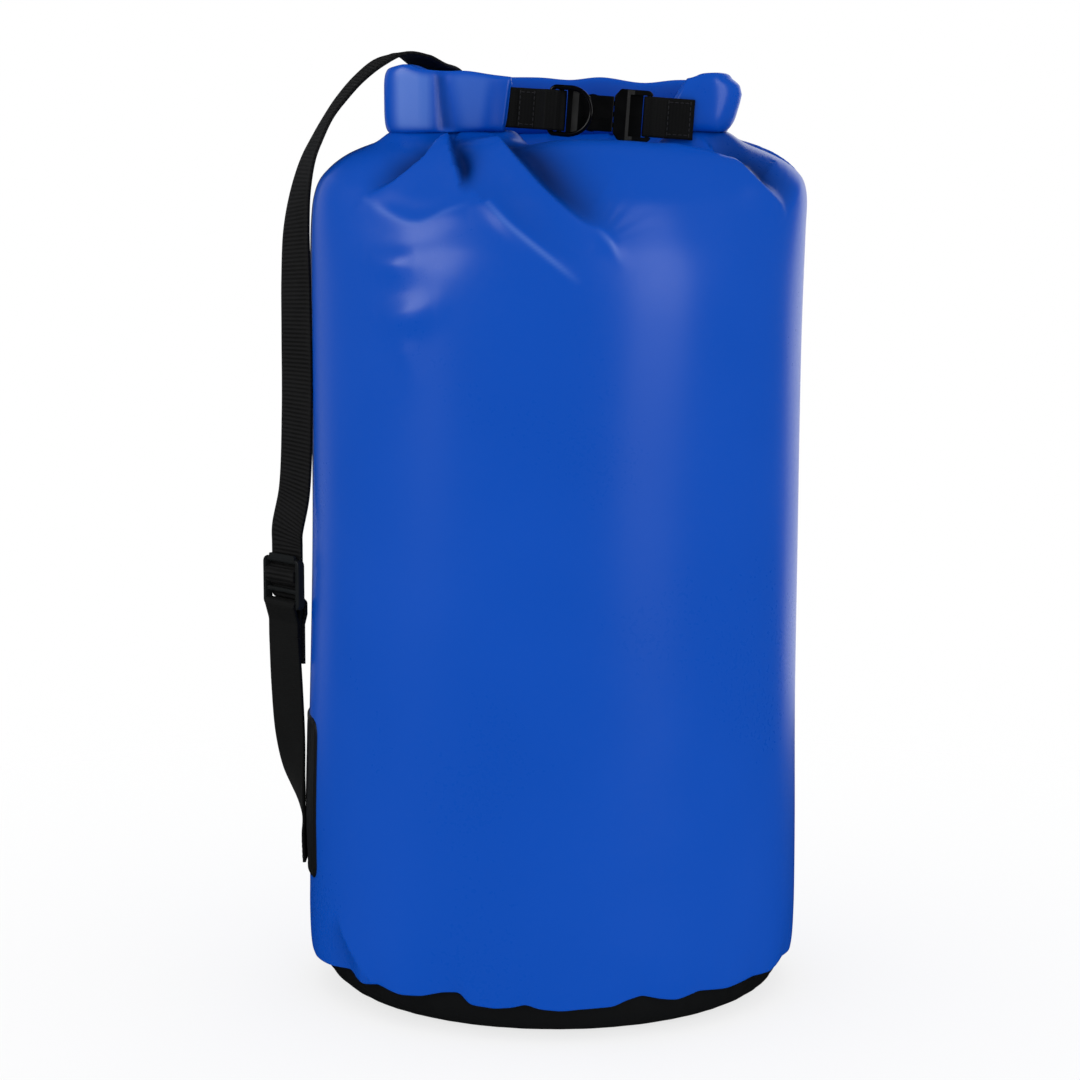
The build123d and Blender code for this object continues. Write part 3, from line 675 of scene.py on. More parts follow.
    def cap(self, ring: np.ndarray, direction: np.ndarray) -> np.ndarray:
        """Rings from the rim of an end face to its middle, grooved between the plies of the spiral.

        A groove lies where the ring's share of the way in, times the number of plies, plus the share of the
        way round is whole.

        Args:
            ring: places of the roll's last ring.
            direction: unit direction out of the end face.

        Returns:
            Rings of places from just inside the rim to the middle.
        """
        share = np.linspace(0, 1, self.cap_rings + 1)[1:, None, None]
        middle = ring.mean(axis=0)
        round_share = np.linspace(0, 1, self.around, endpoint=False)[None, :, None]
        phase = share * self.plies + round_share
        swell = 0.9 * smoothstep(0, 0.2, share) - 0.8 * np.abs(np.cos(math.pi * phase)) ** 6
        reach = ring[None] * (1 - share) + middle * share
        return reach + direction * swell * MM

    def build(self, name: str) -> bpy.types.Object:
        """The roll as one object, with both end faces."""
        rings, painted_light = self.rings()
        start = self.cap(rings[0], np.append(-self.along[0], 0))[::-1]
        end = self.cap(rings[-1], np.append(self.along[-1], 0))
        places = np.concatenate([start, rings, end])
        quads = grid_faces(len(places), self.around, wrap_columns=True)
        run = np.pad(self.runs, self.cap_rings, mode="edge")
        uv = np.stack(np.meshgrid(run, np.linspace(0, self.girth, self.around), indexing="ij"), axis=-1)
        # the panels' painted highlight and shade, none on the end faces
        crease = np.pad(painted_light, ((self.cap_rings, self.cap_rings), (0, 0)))
        return build_mesh(name, places.reshape(-1, 3), quads[:, ::-1], uv.reshape(-1, 2), crease=crease)


# ---------------------------------------------------------------- webbing
@dataclass(frozen=True)
class Webbing:
    """A kind of woven strap.

    Attributes:
        width: width of the strap.
        thickness: thickness at its middle.
        rib: height of the crosswise ribs, 0 for a smooth weave.
        pitch: spacing of the ribs.
        selvedge: width of the plain edges beside the ribs.
    """

    width: float
    thickness: float
    rib: float = 0.0
    pitch: float = 2 * MM
    selvedge: float = 1.8 * MM

    def section(self, count: int = 19) -> np.ndarray:
        """Outline across the strap.

        Args:
            count: number of places on each face.

        Returns:
            Rows of the share of the half width and the share of the half thickness.
        """
        across = np.linspace(-1, 1, count) * (1 - 0.35 * self.thickness / self.width)
        edge = np.array([(1 - 0.1 * self.thickness / self.width, 0.62), (1.0, 0.0)])
        edge = np.vstack([edge, edge[:1] * [1, -1]])
        upper = np.column_stack([across, np.ones(count)])
        lower = upper[::-1] * [1, -1]
        return np.vstack([upper, edge, lower, edge[::-1] * [-1, 1]])

    def build(self, name: str, path: np.ndarray, across: np.ndarray) -> bpy.types.Object:
        """The strap as one object, its faces raised by half a cosine wave for each rib.

        Args:
            name: name of the object.
            path: rows of places along its middle.
            across: direction across the strap at each place.

        Returns:
            The new object, its cloth coordinates running across and along the strap.
        """
        along = unit(np.gradient(path, axis=0))
        across = unit(across - along * np.sum(across * along, axis=1, keepdims=True))
        normal = np.cross(along, across)
        section = self.section()
        x, h = section[:, 0] * self.width / 2, section[:, 1] * self.thickness / 2
        run = lengths_along(path)
        inner = smoothstep(0, 0.6 * MM, self.width / 2 - self.selvedge - np.abs(x))
        wave = 0.5 - 0.5 * np.cos(2 * math.pi * run / self.pitch)
        rib = self.rib * (wave[:, None] - 0.5) * inner * np.sign(h)
        lift = h + rib
        places = path[:, None] + x[:, None] * across[:, None] + lift[..., None] * normal[:, None]
        rows, columns = places.shape[:2]
        quads = grid_faces(rows, columns, wrap_columns=True)
        uv = np.stack(np.broadcast_arrays(x[None, :], run[:, None]), axis=-1)
        ends = [range(columns - 1, -1, -1), range((rows - 1) * columns, rows * columns)]
        return build_mesh(name, places.reshape(-1, 3), quads, uv.reshape(-1, 2), ends)


def build_stitches(
    name: str,
    places: np.ndarray,
    directions: np.ndarray,
    normals: np.ndarray,
    length: float = 2.2 * MM,
    radius: float = 0.28 * MM,
) -> bpy.types.Object:
    """Rows of thread stitches, each a short rounded bead lying on the cloth.

    Args:
        name: name of the object.
        places: middle of each stitch.
        directions: unit direction of each stitch.
        normals: unit outward direction of the cloth there.
        length: length of a stitch.
        radius: radius of the thread.

    Returns:
        All the beads as one object.
    """
    lie = np.array([-1, -0.8, -0.3, 0.3, 0.8, 1]) * length / 2
    girth = np.array([0.15, 0.75, 1, 1, 0.75, 0.15]) * radius
    turn = np.linspace(0, 2 * math.pi, 7, endpoint=False)
    side = np.cross(normals, directions)
    axis = places[:, None, None] + lie[None, :, None, None] * directions[:, None, None]
    sideways = np.cos(turn)[None, None, :, None] * side[:, None, None]
    outward = np.sin(turn)[None, None, :, None] * normals[:, None, None]
    beads = axis + girth[None, :, None, None] * (sideways + outward)
    one = grid_faces(len(lie), len(turn), wrap_columns=True)
    first = np.arange(len(places))[:, None, None] * len(lie) * len(turn)
    quads = (first + one[None]).reshape(-1, 4)
    return build_mesh(name, beads.reshape(-1, 3), quads)


@dataclass(frozen=True)
class Plane3:
    """Flat drawing plane in space: an origin and its right, up and outward directions."""

    origin: np.ndarray
    right: np.ndarray
    up: np.ndarray
    out: np.ndarray

    def place(
        self, right: np.ndarray | float, up: np.ndarray | float, out: np.ndarray | float
    ) -> np.ndarray:
        """Places in space of distances along the plane's three directions."""
        columns = np.broadcast_arrays(right, up, out)
        return self.origin + sum(c[..., None] * d for c, d in zip(columns, (self.right, self.up, self.out)))


TILT = math.radians(4)  # the clip hangs lower at its right end
CLOSURE = Plane3(  # the clip's plane, from the middle of the bar of its female half
    np.array([2.14, -45.6, 430.595]) * MM,
    np.array([math.cos(TILT), 0, -math.sin(TILT)]),
    np.array([math.sin(TILT), 0, math.cos(TILT)]),
    np.array([0.0, -1.0, 0.0]),
)
LOCK = Plane3(  # the ladder lock's plane, from its middle
    np.array([-134.6, -6.0, 200.0]) * MM,
    np.array([0.64018, -0.76822, 0.0]),
    np.array([0.0, 0.0, 1.0]),
    np.array([-0.76822, -0.64018, 0.0]),
)
CLOSURE_WEBBING = Webbing(19 * MM, 1.2 * MM, rib=0.12 * MM, pitch=1.6 * MM, selvedge=1.2 * MM)
STRAP_WEBBING = Webbing(25 * MM, 1.6 * MM, rib=0.42 * MM, pitch=2.05 * MM, selvedge=2.6 * MM)
ANCHOR_WEBBING = Webbing(25 * MM, 1.6 * MM, rib=0.06 * MM, pitch=1.0 * MM)


def arc_points(
    centre: tuple[float, float], radius: float, start: float, sweep: float, count: int = 14
) -> np.ndarray:
    """Points of an arc in a plane.

    Args:
        centre: centre of the arc.
        radius: its radius.
        start: angle of its first point in degrees.
        sweep: degrees from there to its last point.
        count: number of points.

    Returns:
        Rows of two coordinates.
    """
    a = np.radians(np.linspace(start, start + sweep, count))
    return np.stack([centre[0] + radius * np.cos(a), centre[1] + radius * np.sin(a)], axis=1)


@dataclass
class Closure:
    """The two short straps of the roll's clip, with their stitching.

    Attributes:
        loop: radius of a strap's middle round its bar, in millimetres.
        bars: distance between the two bars, in millimetres.
        step: spacing of the samples along a strap.
    """

    loop: float = 2.05
    bars: float = 41.7
    step: float = 0.32 * MM

    def left_path(self) -> np.ndarray:
        """Side view of the left strap: out of the roll, round the bar, back over the D-ring's bar."""
        back = np.array([(-27.6, -5.0), (-24.3, -4.8), (-7.8, -self.loop), (0, -self.loop)]) * MM
        turn = arc_points((0, 0), self.loop * MM, -90, 180)
        front = np.array([(0, self.loop), (-2.4, 4.3), (-7, 4.3), (-11.3, -1.5), (-19.8, -2.8)]) * MM
        back, front = rounded_path(back, 3 * MM, 0.3 * MM), rounded_path(front, 1.1 * MM, 0.3 * MM)
        return even_samples(np.vstack([back[:-1], turn, front[1:]]), self.step)

    def right_path(self) -> np.ndarray:
        """Side view of the right strap, from the bar to its stitched end on the roll."""
        bar, off = self.bars, self.loop
        back = np.array([(bar + 21.6, -off), (bar, -off)]) * MM
        turn = arc_points((bar * MM, 0), off * MM, 270, -180)
        front = np.array([(bar, off), (bar + 2.5, off), (bar + 8, -1.03), (bar + 20.5, -1.03)]) * MM
        front = rounded_path(front, 2 * MM, 0.3 * MM)
        return even_samples(np.vstack([back[:-1], turn, front[1:]]), self.step)

    def build(self) -> list[tuple[bpy.types.Object, Body]]:
        """Straps and then stitches, each with the body it moves with."""
        pieces = []
        for name, side, node, body in (
            ("closure_webbing_left", self.left_path(), "closure_strap_left", Body.BAG),
            ("closure_webbing_right", self.right_path(), "closure_strap_right", Body.MALE_HALF),
        ):
            path = CLOSURE.place(side[:, 0], 0.0, side[:, 1])
            across = np.broadcast_to(-CLOSURE.up, path.shape)
            strap = CLOSURE_WEBBING.build(name, path, across)
            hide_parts(node)
            pieces.append((strap, body))
        left = [(x * MM, d * MM) for x, d in ((-19.3, -2.1), (-12.6, -1.1))]
        right = [((self.bars + x) * MM, d * MM) for x, d in ((9.2, -0.4), (19.6, -0.4))]
        for name, spots, body in (
            ("closure_stitches_left", left, Body.BAG),
            ("closure_stitches_right", right, Body.MALE_HALF),
        ):
            pieces.append((self.box_stitch(name, spots), body))
        return pieces

    @staticmethod
    def box_stitch(name: str, spots: list[tuple[float, float]], pitch: float = 2.5 * MM) -> bpy.types.Object:
        """A rectangle of stitches on a strap.

        Args:
            name: name of the object.
            spots: distance along the strap and height off the plane at the rectangle's left and right.
            pitch: spacing of the stitches.

        Returns:
            The stitches as one object.
        """
        (x0, d0), (x1, d1) = spots
        h = CLOSURE_WEBBING.width / 2 - 2 * MM
        rows = []
        for x, d in ((x0, d0), (x1, d1)):
            up = np.arange(-h, h + 1e-6, pitch)
            rows.append((np.full(up.shape, x), up, np.full(up.shape, d), CLOSURE.up))
        for up in (-h, h):
            x = np.arange(x0 + 1.2 * MM, x1, pitch)
            rows.append((x, np.full(x.shape, up), np.interp(x, [x0, x1], [d0, d1]), CLOSURE.right))
        places = np.vstack([CLOSURE.place(x, u, d) for x, u, d, _ in rows])
        directions = np.vstack([np.broadcast_to(way, (len(x), 3)) for x, _, _, way in rows])
        normals = np.broadcast_to(CLOSURE.out, places.shape)
        return build_stitches(name, places, directions, normals, 1.9 * MM)


@dataclass
class CarryStrap:
    """The shoulder strap down the left side: patches, anchor strap and ribbed webbing.

    Attributes:
        skin: the bag's skin, on which the patches lie.
        lower_angle: angle round the bag of the lower end.
        upper_angle: angle round the bag of the upper end.
        off_wall: distance of a sewn end's middle from the skin.
        turn: radius of a strap's middle round the ladder lock's bars, in millimetres.
        weld: thickness of the patches.
    """

    skin: BagSkin
    lower_angle: float = math.pi
    upper_angle: float = math.radians(102)
    off_wall: float = 2.05 * MM
    turn: float = 2.35
    weld: float = 1.35 * MM

    # rows of a place in millimetres and the direction across the strap there
    BLADE = np.array(
        [(-126.2, -0.8, 81, 0.05, -1, 0), (-128.4, -3.4, 91, 0.24, -0.97, 0),
         (-130.4, -6.6, 104, 0.46, -0.89, 0), (-132.0, -8.2, 123, 0.62, -0.78, 0),
         (-133.4, -7.6, 148, 0.66, -0.75, 0), (-134.6, -6, 172.9, 0.64, -0.768, 0)]
    )  # fmt: skip
    ARCH = np.array(
        [(-132.6, -5.4, 226, 0.64, -0.768, 0), (-128.6, -9, 246, 0.64, -0.77, 0),
         (-126.6, -11, 285, 0.64, -0.77, 0), (-126.4, -11, 325, 0.63, -0.777, 0),
         (-126.5, -10, 350, 0.61, -0.79, 0), (-126.3, -8, 374, 0.54, -0.84, 0),
         (-124.6, -5.4, 391, 0.44, -0.9, 0), (-120.6, -4, 407.8, 0.33, -0.94, 0),
         (-116.4, -3, 417.5, 0.28, -0.96, 0), (-111.4, -1, 427.2, 0.24, -0.97, 0),
         (-104.8, 1, 436.8, 0.2, -0.975, -0.1), (-96, 3, 446.9, 0.2, -0.97, -0.12),
         (-86, 5, 455.0, 0.24, -0.965, -0.1), (-76.5, 8, 459.0, 0.3, -0.95, 0),
         (-70, 13, 458.6, 0.42, -0.9, 0), (-63, 26, 455.2, 0.6, -0.8, 0), (-57, 40, 452.3, 0.7, -0.7, 0),
         (-49, 60, 444, 0.84, -0.54, 0), (-36, 86, 429, 0.95, -0.3, 0), (-28.5, 110, 413, 0.98, -0.1, 0),
         (-26.6, 123.2, 393, 0.98, 0.12, 0)]
    )  # fmt: skip

    def on_skin(self, angle: float, heights: np.ndarray) -> np.ndarray:
        """Middles of a sewn strap end at one angle and several heights of the wall."""
        angles, offsets = (np.full(heights.shape, value) for value in (angle, self.off_wall))
        return self.skin.on_wall(angles, heights, offsets)

    def anchor_path(self) -> tuple[np.ndarray, np.ndarray]:
        """Middle line of the anchor strap and the direction across it: tab, blade, loop round the bar."""
        tab = self.on_skin(self.lower_angle, np.array([59.5, 66, 73]) * MM)
        start = np.column_stack([tab, np.zeros(3), -np.ones(3), np.zeros(3)])
        rise = np.column_stack([self.BLADE[:, :3] * MM, self.BLADE[:, 3:]])
        line = smooth_curve(np.vstack([start, rise]), 1.2 * MM)
        bar, off = -11.1, self.turn
        front = rounded_path(np.array([(-26.5, 0), (-19.1, 0), (bar, off)]) * MM, 5 * MM, 0.4 * MM)
        loop = arc_points((bar * MM, 0), off * MM, 90, -180)
        back = rounded_path(np.array([(bar, -off), (-17.1, -1.45), (-38, -1.45)]) * MM, 5 * MM, 0.6 * MM)
        turn = even_samples(np.vstack([front, loop[1:], back[1:]]), 0.5 * MM)
        path = np.vstack([line[:, :3], LOCK.place(0.0, turn[:, 0], turn[:, 1])])
        across = np.vstack([line[:, 3:6], np.broadcast_to(LOCK.right, (len(turn), 3))])
        return path, across

    def webbing_path(self) -> tuple[np.ndarray, np.ndarray]:
        """Middle line of the webbing and the direction across it: tail, lock, side, arch, back, tab."""
        off = self.turn
        route = np.array([(-39.7, -3.3), (-20, -3.3), (-15, -4.85), (-9.2, -4.85), (-6.7, -off), (-1.2, -off),
                          (1.6, off), (5.8, off), (8.6, -off), (19, -off)]) * MM  # fmt: skip
        threaded = rounded_path(route, 1.0 * MM, 0.25 * MM)
        arch = np.column_stack([self.ARCH[:, :3] * MM, self.ARCH[:, 3:]])
        ends = self.on_skin(self.upper_angle, np.array([374, 368, 353, 339]) * MM)
        over = np.array([-math.sin(self.upper_angle), math.cos(self.upper_angle), 0]) * -1
        tab = np.column_stack([ends, np.broadcast_to(over, (4, 3))])
        join = LOCK.place(0.0, np.array([17 * MM, 19 * MM]), -off * MM)
        lead = np.column_stack([join, np.broadcast_to(LOCK.right, (2, 3))])
        line = smooth_curve(np.vstack([lead, arch, tab]), 0.34 * MM)
        places = LOCK.place(0.0, threaded[:, 0], threaded[:, 1])
        start = np.column_stack([places, np.broadcast_to(LOCK.right, places.shape)])
        keep = threaded[:, 0] < 16.9 * MM
        whole = even_samples(np.vstack([start[keep], line]), 0.34 * MM)
        return whole[:, :3], whole[:, 3:]

    def patch(
        self, name: str, angle: float, width: float, bottom: float, top: float, node: str
    ) -> bpy.types.Object:
        """Rounded rectangle of tarpaulin welded to the skin, with a shallow groove along its edge.

        Args:
            name: name of the object.
            angle: angle round the bag of its middle.
            width: its width.
            bottom: height of its lower edge.
            top: height of its upper edge.
            node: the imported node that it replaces.

        Returns:
            The new object.
        """
        u = np.linspace(-1, 1, 41)[None, :]
        v = np.linspace(-1, 1, 61)[:, None]
        half, corner, tall = width / 2, 8 * MM, (top - bottom) / 2
        past = np.clip(np.abs(v) * tall - (tall - corner), 0, corner)
        reach = half - corner + np.sqrt(np.maximum(corner**2 - past**2, 0))
        x = u * reach
        z = (top + bottom) / 2 + v * tall + 0 * u
        edge = np.minimum((1 - np.abs(u)) * reach, (1 - np.abs(v)) * tall)
        offset = -0.3 * MM + self.weld * smoothstep(-0.2 * MM, 0.9 * MM, edge)
        offset = offset - 0.18 * MM * bell(edge - 4.5 * MM, 0.7 * MM)
        places = self.skin.on_wall(angle - x / WALL_RADIUS, z, offset)
        uv = np.stack([x, z], axis=-1)
        piece = build_mesh(name, places.reshape(-1, 3), grid_faces(v.size, u.size), uv.reshape(-1, 2))
        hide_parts(node)
        return piece

    def box_stitch(self, name: str, angle: float, bottom: float, top: float) -> bpy.types.Object:
        """A crossed box of stitches on a sewn strap end.

        Args:
            name: name of the object.
            angle: angle round the bag of its middle.
            bottom: height of its lower side.
            top: height of its upper side.

        Returns:
            The stitches as one object.
        """
        h, step, lift = 10.3 * MM, 2.7 * MM, 2.85 * MM
        corners = (-h, bottom), (h, bottom), (h, top), (-h, top)
        spots, ways = [], []
        for start, end in ((0, 1), (1, 2), (2, 3), (3, 0), (0, 2), (1, 3)):
            (x0, z0), (x1, z1) = corners[start], corners[end]
            count = max(2, round(math.hypot(x1 - x0, z1 - z0) / step))
            t = (np.arange(count) + 0.5) / count
            x, z = x0 + (x1 - x0) * t, z0 + (z1 - z0) * t
            turn = angle - x / WALL_RADIUS
            level = np.full(x.shape, lift)
            ahead = self.skin.on_wall(turn - (x1 - x0) * 0.001 / WALL_RADIUS, z + (z1 - z0) * 0.001, level)
            spots.append(self.skin.on_wall(turn, z, level + 0.55 * MM * (x / h) ** 2))
            ways.append(unit(ahead - self.skin.on_wall(turn, z, level)))
        places = np.vstack(spots)
        return build_stitches(name, places, np.vstack(ways), unit(places * [1, 1, 0]))

    def build(self) -> tuple[bpy.types.Object, ...]:
        """Lower patch, upper patch, anchor strap, webbing, lower stitches and upper stitches."""
        middle = self.lower_angle + 0.05
        lower = self.patch("patch_lower", middle, 64 * MM, 56 * MM, 136 * MM, "lower_anchor_patch")
        upper = self.patch("patch_upper", self.upper_angle, 56 * MM, 300 * MM, 371 * MM, "upper_anchor_patch")
        path, across = self.anchor_path()
        anchor = ANCHOR_WEBBING.build("strap_anchor", path, across)
        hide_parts("anchor_strap", "anchor_tab")
        path, across = self.webbing_path()
        webbing = STRAP_WEBBING.build("strap_webbing", path, across)
        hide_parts("shoulder_webbing", "webbing_turn", "webbing_tail", "webbing_tab")
        first = self.box_stitch("stitches_lower", self.lower_angle, 61 * MM, 71 * MM)
        second = self.box_stitch("stitches_upper", self.upper_angle, 342 * MM, 364 * MM)
        return lower, upper, anchor, webbing, first, second


# ---------------------------------------------------------------- finishes
GLOSS = 0.12  # level of the reflections, which only the lamps below can draw
SocketValue = bpy.types.NodeSocket | float | Colour


class NodeGraph:
    """A node material under construction, with its main shader."""

    def __init__(self, name: str) -> None:
        """Start a material of this name with one principled shader."""
        self.material = bpy.data.materials.new(name)
        self.material.use_nodes = True
        self.tree = self.material.node_tree
        self.shader = self.tree.nodes["Principled BSDF"]

    def add(
        self, kind: str, settings: dict[str, str] | None = None, **sockets: SocketValue
    ) -> bpy.types.Node:
        """A new node.

        Args:
            kind: its type.
            settings: its attributes.
            sockets: its inputs, by number as i0, i1 and so on, or by name with _ for a space.

        Returns:
            The node.
        """
        node = self.tree.nodes.new(kind)
        for key, value in (settings or {}).items():
            setattr(node, key, value)
        for key, value in sockets.items():
            place = int(key[1:]) if key[1:].isdigit() else key.replace("_", " ")
            self.feed(node.inputs[place], value)
        return node

    def feed(self, socket: bpy.types.NodeSocket, value: SocketValue) -> None:
        """Set a socket to a value, or link it to another socket."""
        if isinstance(value, bpy.types.NodeSocket):
            self.tree.links.new(value, socket)
        else:
            socket.default_value = value

    def math(self, operation: str, a: SocketValue, b: SocketValue = 0.0) -> bpy.types.NodeSocket:
        """Result of a two-input sum, product or other operation."""
        return self.add("ShaderNodeMath", {"operation": operation}, i0=a, i1=b).outputs[0]

    def blend(self, share: SocketValue, first: SocketValue, second: SocketValue) -> bpy.types.NodeSocket:
        """Colour between two colours."""
        node = self.add("ShaderNodeMix", {"data_type": "RGBA"}, i0=share, i6=first, i7=second)
        return node.outputs[2]

    def ramp(
        self, value: SocketValue, low: float, high: float, low_out: float, high_out: float
    ) -> bpy.types.NodeSocket:
        """Value mapped linearly and clamped from one range to another."""
        node = self.add("ShaderNodeMapRange", None, i0=value, i1=low, i2=high, i3=low_out, i4=high_out)
        return node.outputs[0]

    def bands(self, vector: bpy.types.NodeSocket, axis: int, pitch: float) -> bpy.types.NodeSocket:
        """Sine bands across one axis of a coordinate, at a pitch in metres.

        MULTIPLY_ADD with its third input left at 0.5 makes them run from 0 to 1.
        """
        split = self.add("ShaderNodeSeparateXYZ", None, i0=vector)
        turn = self.math("MULTIPLY", split.outputs[axis], 2 * math.pi / pitch)
        return self.math("MULTIPLY_ADD", self.math("SINE", turn), 0.5)

    def noise(self, vector: bpy.types.NodeSocket, scale: float, detail: float) -> bpy.types.NodeSocket:
        """Soft noise from 0 to 1."""
        return self.add("ShaderNodeTexNoise", None, Vector=vector, Scale=scale, Detail=detail).outputs[0]

    def bump(self, height: bpy.types.NodeSocket, strength: float, distance: float) -> None:
        """Bend the shading by a height, in metres of distance."""
        node = self.add("ShaderNodeBump", None, Strength=strength, Distance=distance, Height=height)
        self.feed(self.shader.inputs["Normal"], node.outputs[0])

    def set(self, **values: SocketValue) -> None:
        """Set or feed sockets of the main shader, named with _ for a space."""
        for key, value in values.items():
            self.feed(self.shader.inputs[key.replace("_", " ")], value)


def rgb(red: int, green: int, blue: int) -> Colour:
    """Linear colour of an sRGB colour from 0 to 255."""
    shares = [c / 255 for c in (red, green, blue)]
    linear = [c / 12.92 if c <= 0.04045 else ((c + 0.055) / 1.055) ** 2.4 for c in shares]
    return (*linear, 1.0)


def shade(colour: Colour, share: float) -> Colour:
    """Colour made darker or lighter by a share."""
    return (*(min(1.0, c * share) for c in colour[:3]), 1.0)


@dataclass(frozen=True)
class Tarpaulin:
    """Coated tarpaulin: a glossy skin over a fine scrim that prints faintly through.

    Attributes:
        colour: colour of the coating.
        painted_shade: colour painted as shade in the depth of a crease.
        highlight_and_wear: colour painted as highlight on a crest and on the roll's flattened panels.
        roughness: middle of its roughness.
        scrim: pitch of the threads under the coating.
        coat: share of the clear gloss over it.
    """

    colour: Colour
    painted_shade: Colour
    highlight_and_wear: Colour
    roughness: float = 0.3
    scrim: float = 1.25 * MM
    coat: float = 0.02

    def build(self, name: str) -> bpy.types.Material:
        """The material: broad tint, scrim, painted shade in creases and painted highlight on crests, uneven
        gloss and a faint relief.
        """
        g = NodeGraph(name)
        cloth = g.add("ShaderNodeUVMap", {"uv_map": "cloth"}).outputs[0]
        space = g.add("ShaderNodeTexCoord").outputs["Object"]
        crease = g.add("ShaderNodeAttribute", {"attribute_name": "crease"}).outputs["Fac"]
        broad = g.noise(space, 9.0, 2.0)
        fine = g.noise(space, 420.0, 2.0)
        grid = g.math("MAXIMUM", g.bands(cloth, 0, self.scrim), g.bands(cloth, 1, self.scrim))
        tint = g.blend(g.ramp(broad, 0.3, 0.7, 0.0, 1.0), shade(self.colour, 0.97), shade(self.colour, 1.03))
        tint = g.blend(g.ramp(grid, 0.7, 1.0, 0.0, 0.05), tint, shade(self.colour, 0.9))
        # painted shade in the valleys of folds and painted highlight on crests and panels, read from the crease
        # attribute
        tint = g.blend(g.ramp(crease, 0.0, -1.0, 0.0, 0.85), tint, self.painted_shade)
        tint = g.blend(g.ramp(crease, 0.0, 1.0, 0.0, 0.6), tint, self.highlight_and_wear)
        rough = g.math("ADD", g.ramp(fine, 0.3, 0.7, -0.02, 0.02), g.ramp(broad, 0.3, 0.7, -0.03, 0.03))
        g.set(Base_Color=tint, Roughness=g.math("ADD", rough, self.roughness))
        g.set(Coat_Weight=self.coat, Coat_Roughness=0.2, Specular_IOR_Level=GLOSS)
        relief = g.math("ADD", g.math("MULTIPLY", grid, 0.08), g.math("MULTIPLY", fine, 0.5))
        g.bump(relief, 0.06, 0.12 * MM)
        return g.material


@dataclass(frozen=True)
class Woven:
    """Woven webbing or thread: crosswise ribs of twisted yarn with painted shade in the gaps between them.

    Attributes:
        colour: colour of the top of the ribs.
        rib: pitch of the ribs along the strap.
        yarn: pitch of the yarns across the strap.
        gap: brightness of the painted shade in the gaps between the ribs, as a share of the colour.
        roughness: middle of its roughness.
    """

    colour: Colour
    rib: float = 2.05 * MM
    yarn: float = 0.9 * MM
    gap: float = 0.35
    roughness: float = 0.72

    def build(self, name: str) -> bpy.types.Material:
        """The material: ribs and yarns from cosine and sine bands with painted shade between them, rubbed
        patches and a soft relief.
        """
        g = NodeGraph(name)
        cloth = g.add("ShaderNodeUVMap", {"uv_map": "cloth"}).outputs[0]
        space = g.add("ShaderNodeTexCoord").outputs["Object"]
        fibre = g.noise(space, 2600.0, 2.0)
        broad = g.noise(space, 60.0, 2.0)
        split = g.add("ShaderNodeSeparateXYZ", None, i0=cloth)
        across = g.math("MULTIPLY", split.outputs[0], 2 * math.pi / self.yarn)
        lean = g.math("MULTIPLY", split.outputs[1], 2 * math.pi / self.rib)
        rib = g.ramp(g.math("COSINE", lean), 1.0, -1.0, 0.0, 1.0)
        slant = g.math("ADD", across, g.math("MULTIPLY", lean, 0.5))
        yarn = g.math("MULTIPLY_ADD", g.math("SINE", slant), 0.5)
        # painted shade in the gaps between the ribs and between the yarns
        tint = g.blend(g.ramp(rib, 0.15, 0.75, 0.0, 1.0), shade(self.colour, self.gap), self.colour)
        tint = g.blend(g.ramp(yarn, 0.0, 1.0, 0.3, 0.0), tint, shade(self.colour, 0.45))
        tint = g.blend(g.ramp(broad, 0.35, 0.7, 0.0, 0.25), tint, shade(self.colour, 1.35))
        rough = g.ramp(fibre, 0.3, 0.7, self.roughness - 0.06, self.roughness + 0.06)
        g.set(Base_Color=tint, Roughness=rough)
        g.set(Sheen_Weight=0.02, Sheen_Roughness=0.4, Specular_IOR_Level=0.7 * GLOSS)
        relief = g.math("ADD", g.math("MULTIPLY", yarn, 0.6), g.math("MULTIPLY", fibre, 0.4))
        g.bump(g.math("ADD", relief, g.math("MULTIPLY", rib, 0.5)), 0.5, 0.14 * MM)
        return g.material


@dataclass(frozen=True)
class Moulded:
    """Moulded plastic with a fine grain and slightly polished, paler edges.

    Attributes:
        colour: colour of the plastic.
        roughness: middle of its roughness.
        grain: strength of the grain's relief.
        coat: share of the clear gloss over it.
    """

    colour: Colour
    roughness: float = 0.38
    grain: float = 0.12
    coat: float = 0.0

    def build(self, name: str) -> bpy.types.Material:
        """The material: paler edges, uneven gloss and a fine relief."""
        g = NodeGraph(name)
        space = g.add("ShaderNodeTexCoord").outputs["Object"]
        grain = g.noise(space, 3800.0, 2.0)
        broad = g.noise(space, 130.0, 3.0)
        highlight_and_wear = g.ramp(g.add("ShaderNodeNewGeometry").outputs["Pointiness"], 0.54, 0.66, 0.0, 0.35)
        tint = g.blend(highlight_and_wear, self.colour, shade(self.colour, 1.8))
        rough = g.math("ADD", g.ramp(grain, 0.3, 0.7, -0.04, 0.04), g.ramp(broad, 0.3, 0.7, -0.06, 0.06))
        g.set(Base_Color=tint, Roughness=g.math("ADD", rough, self.roughness))
        g.set(Coat_Weight=self.coat, Coat_Roughness=0.12, Specular_IOR_Level=0.6 * GLOSS)
        g.bump(grain, self.grain, 0.05 * MM)
        return g.material


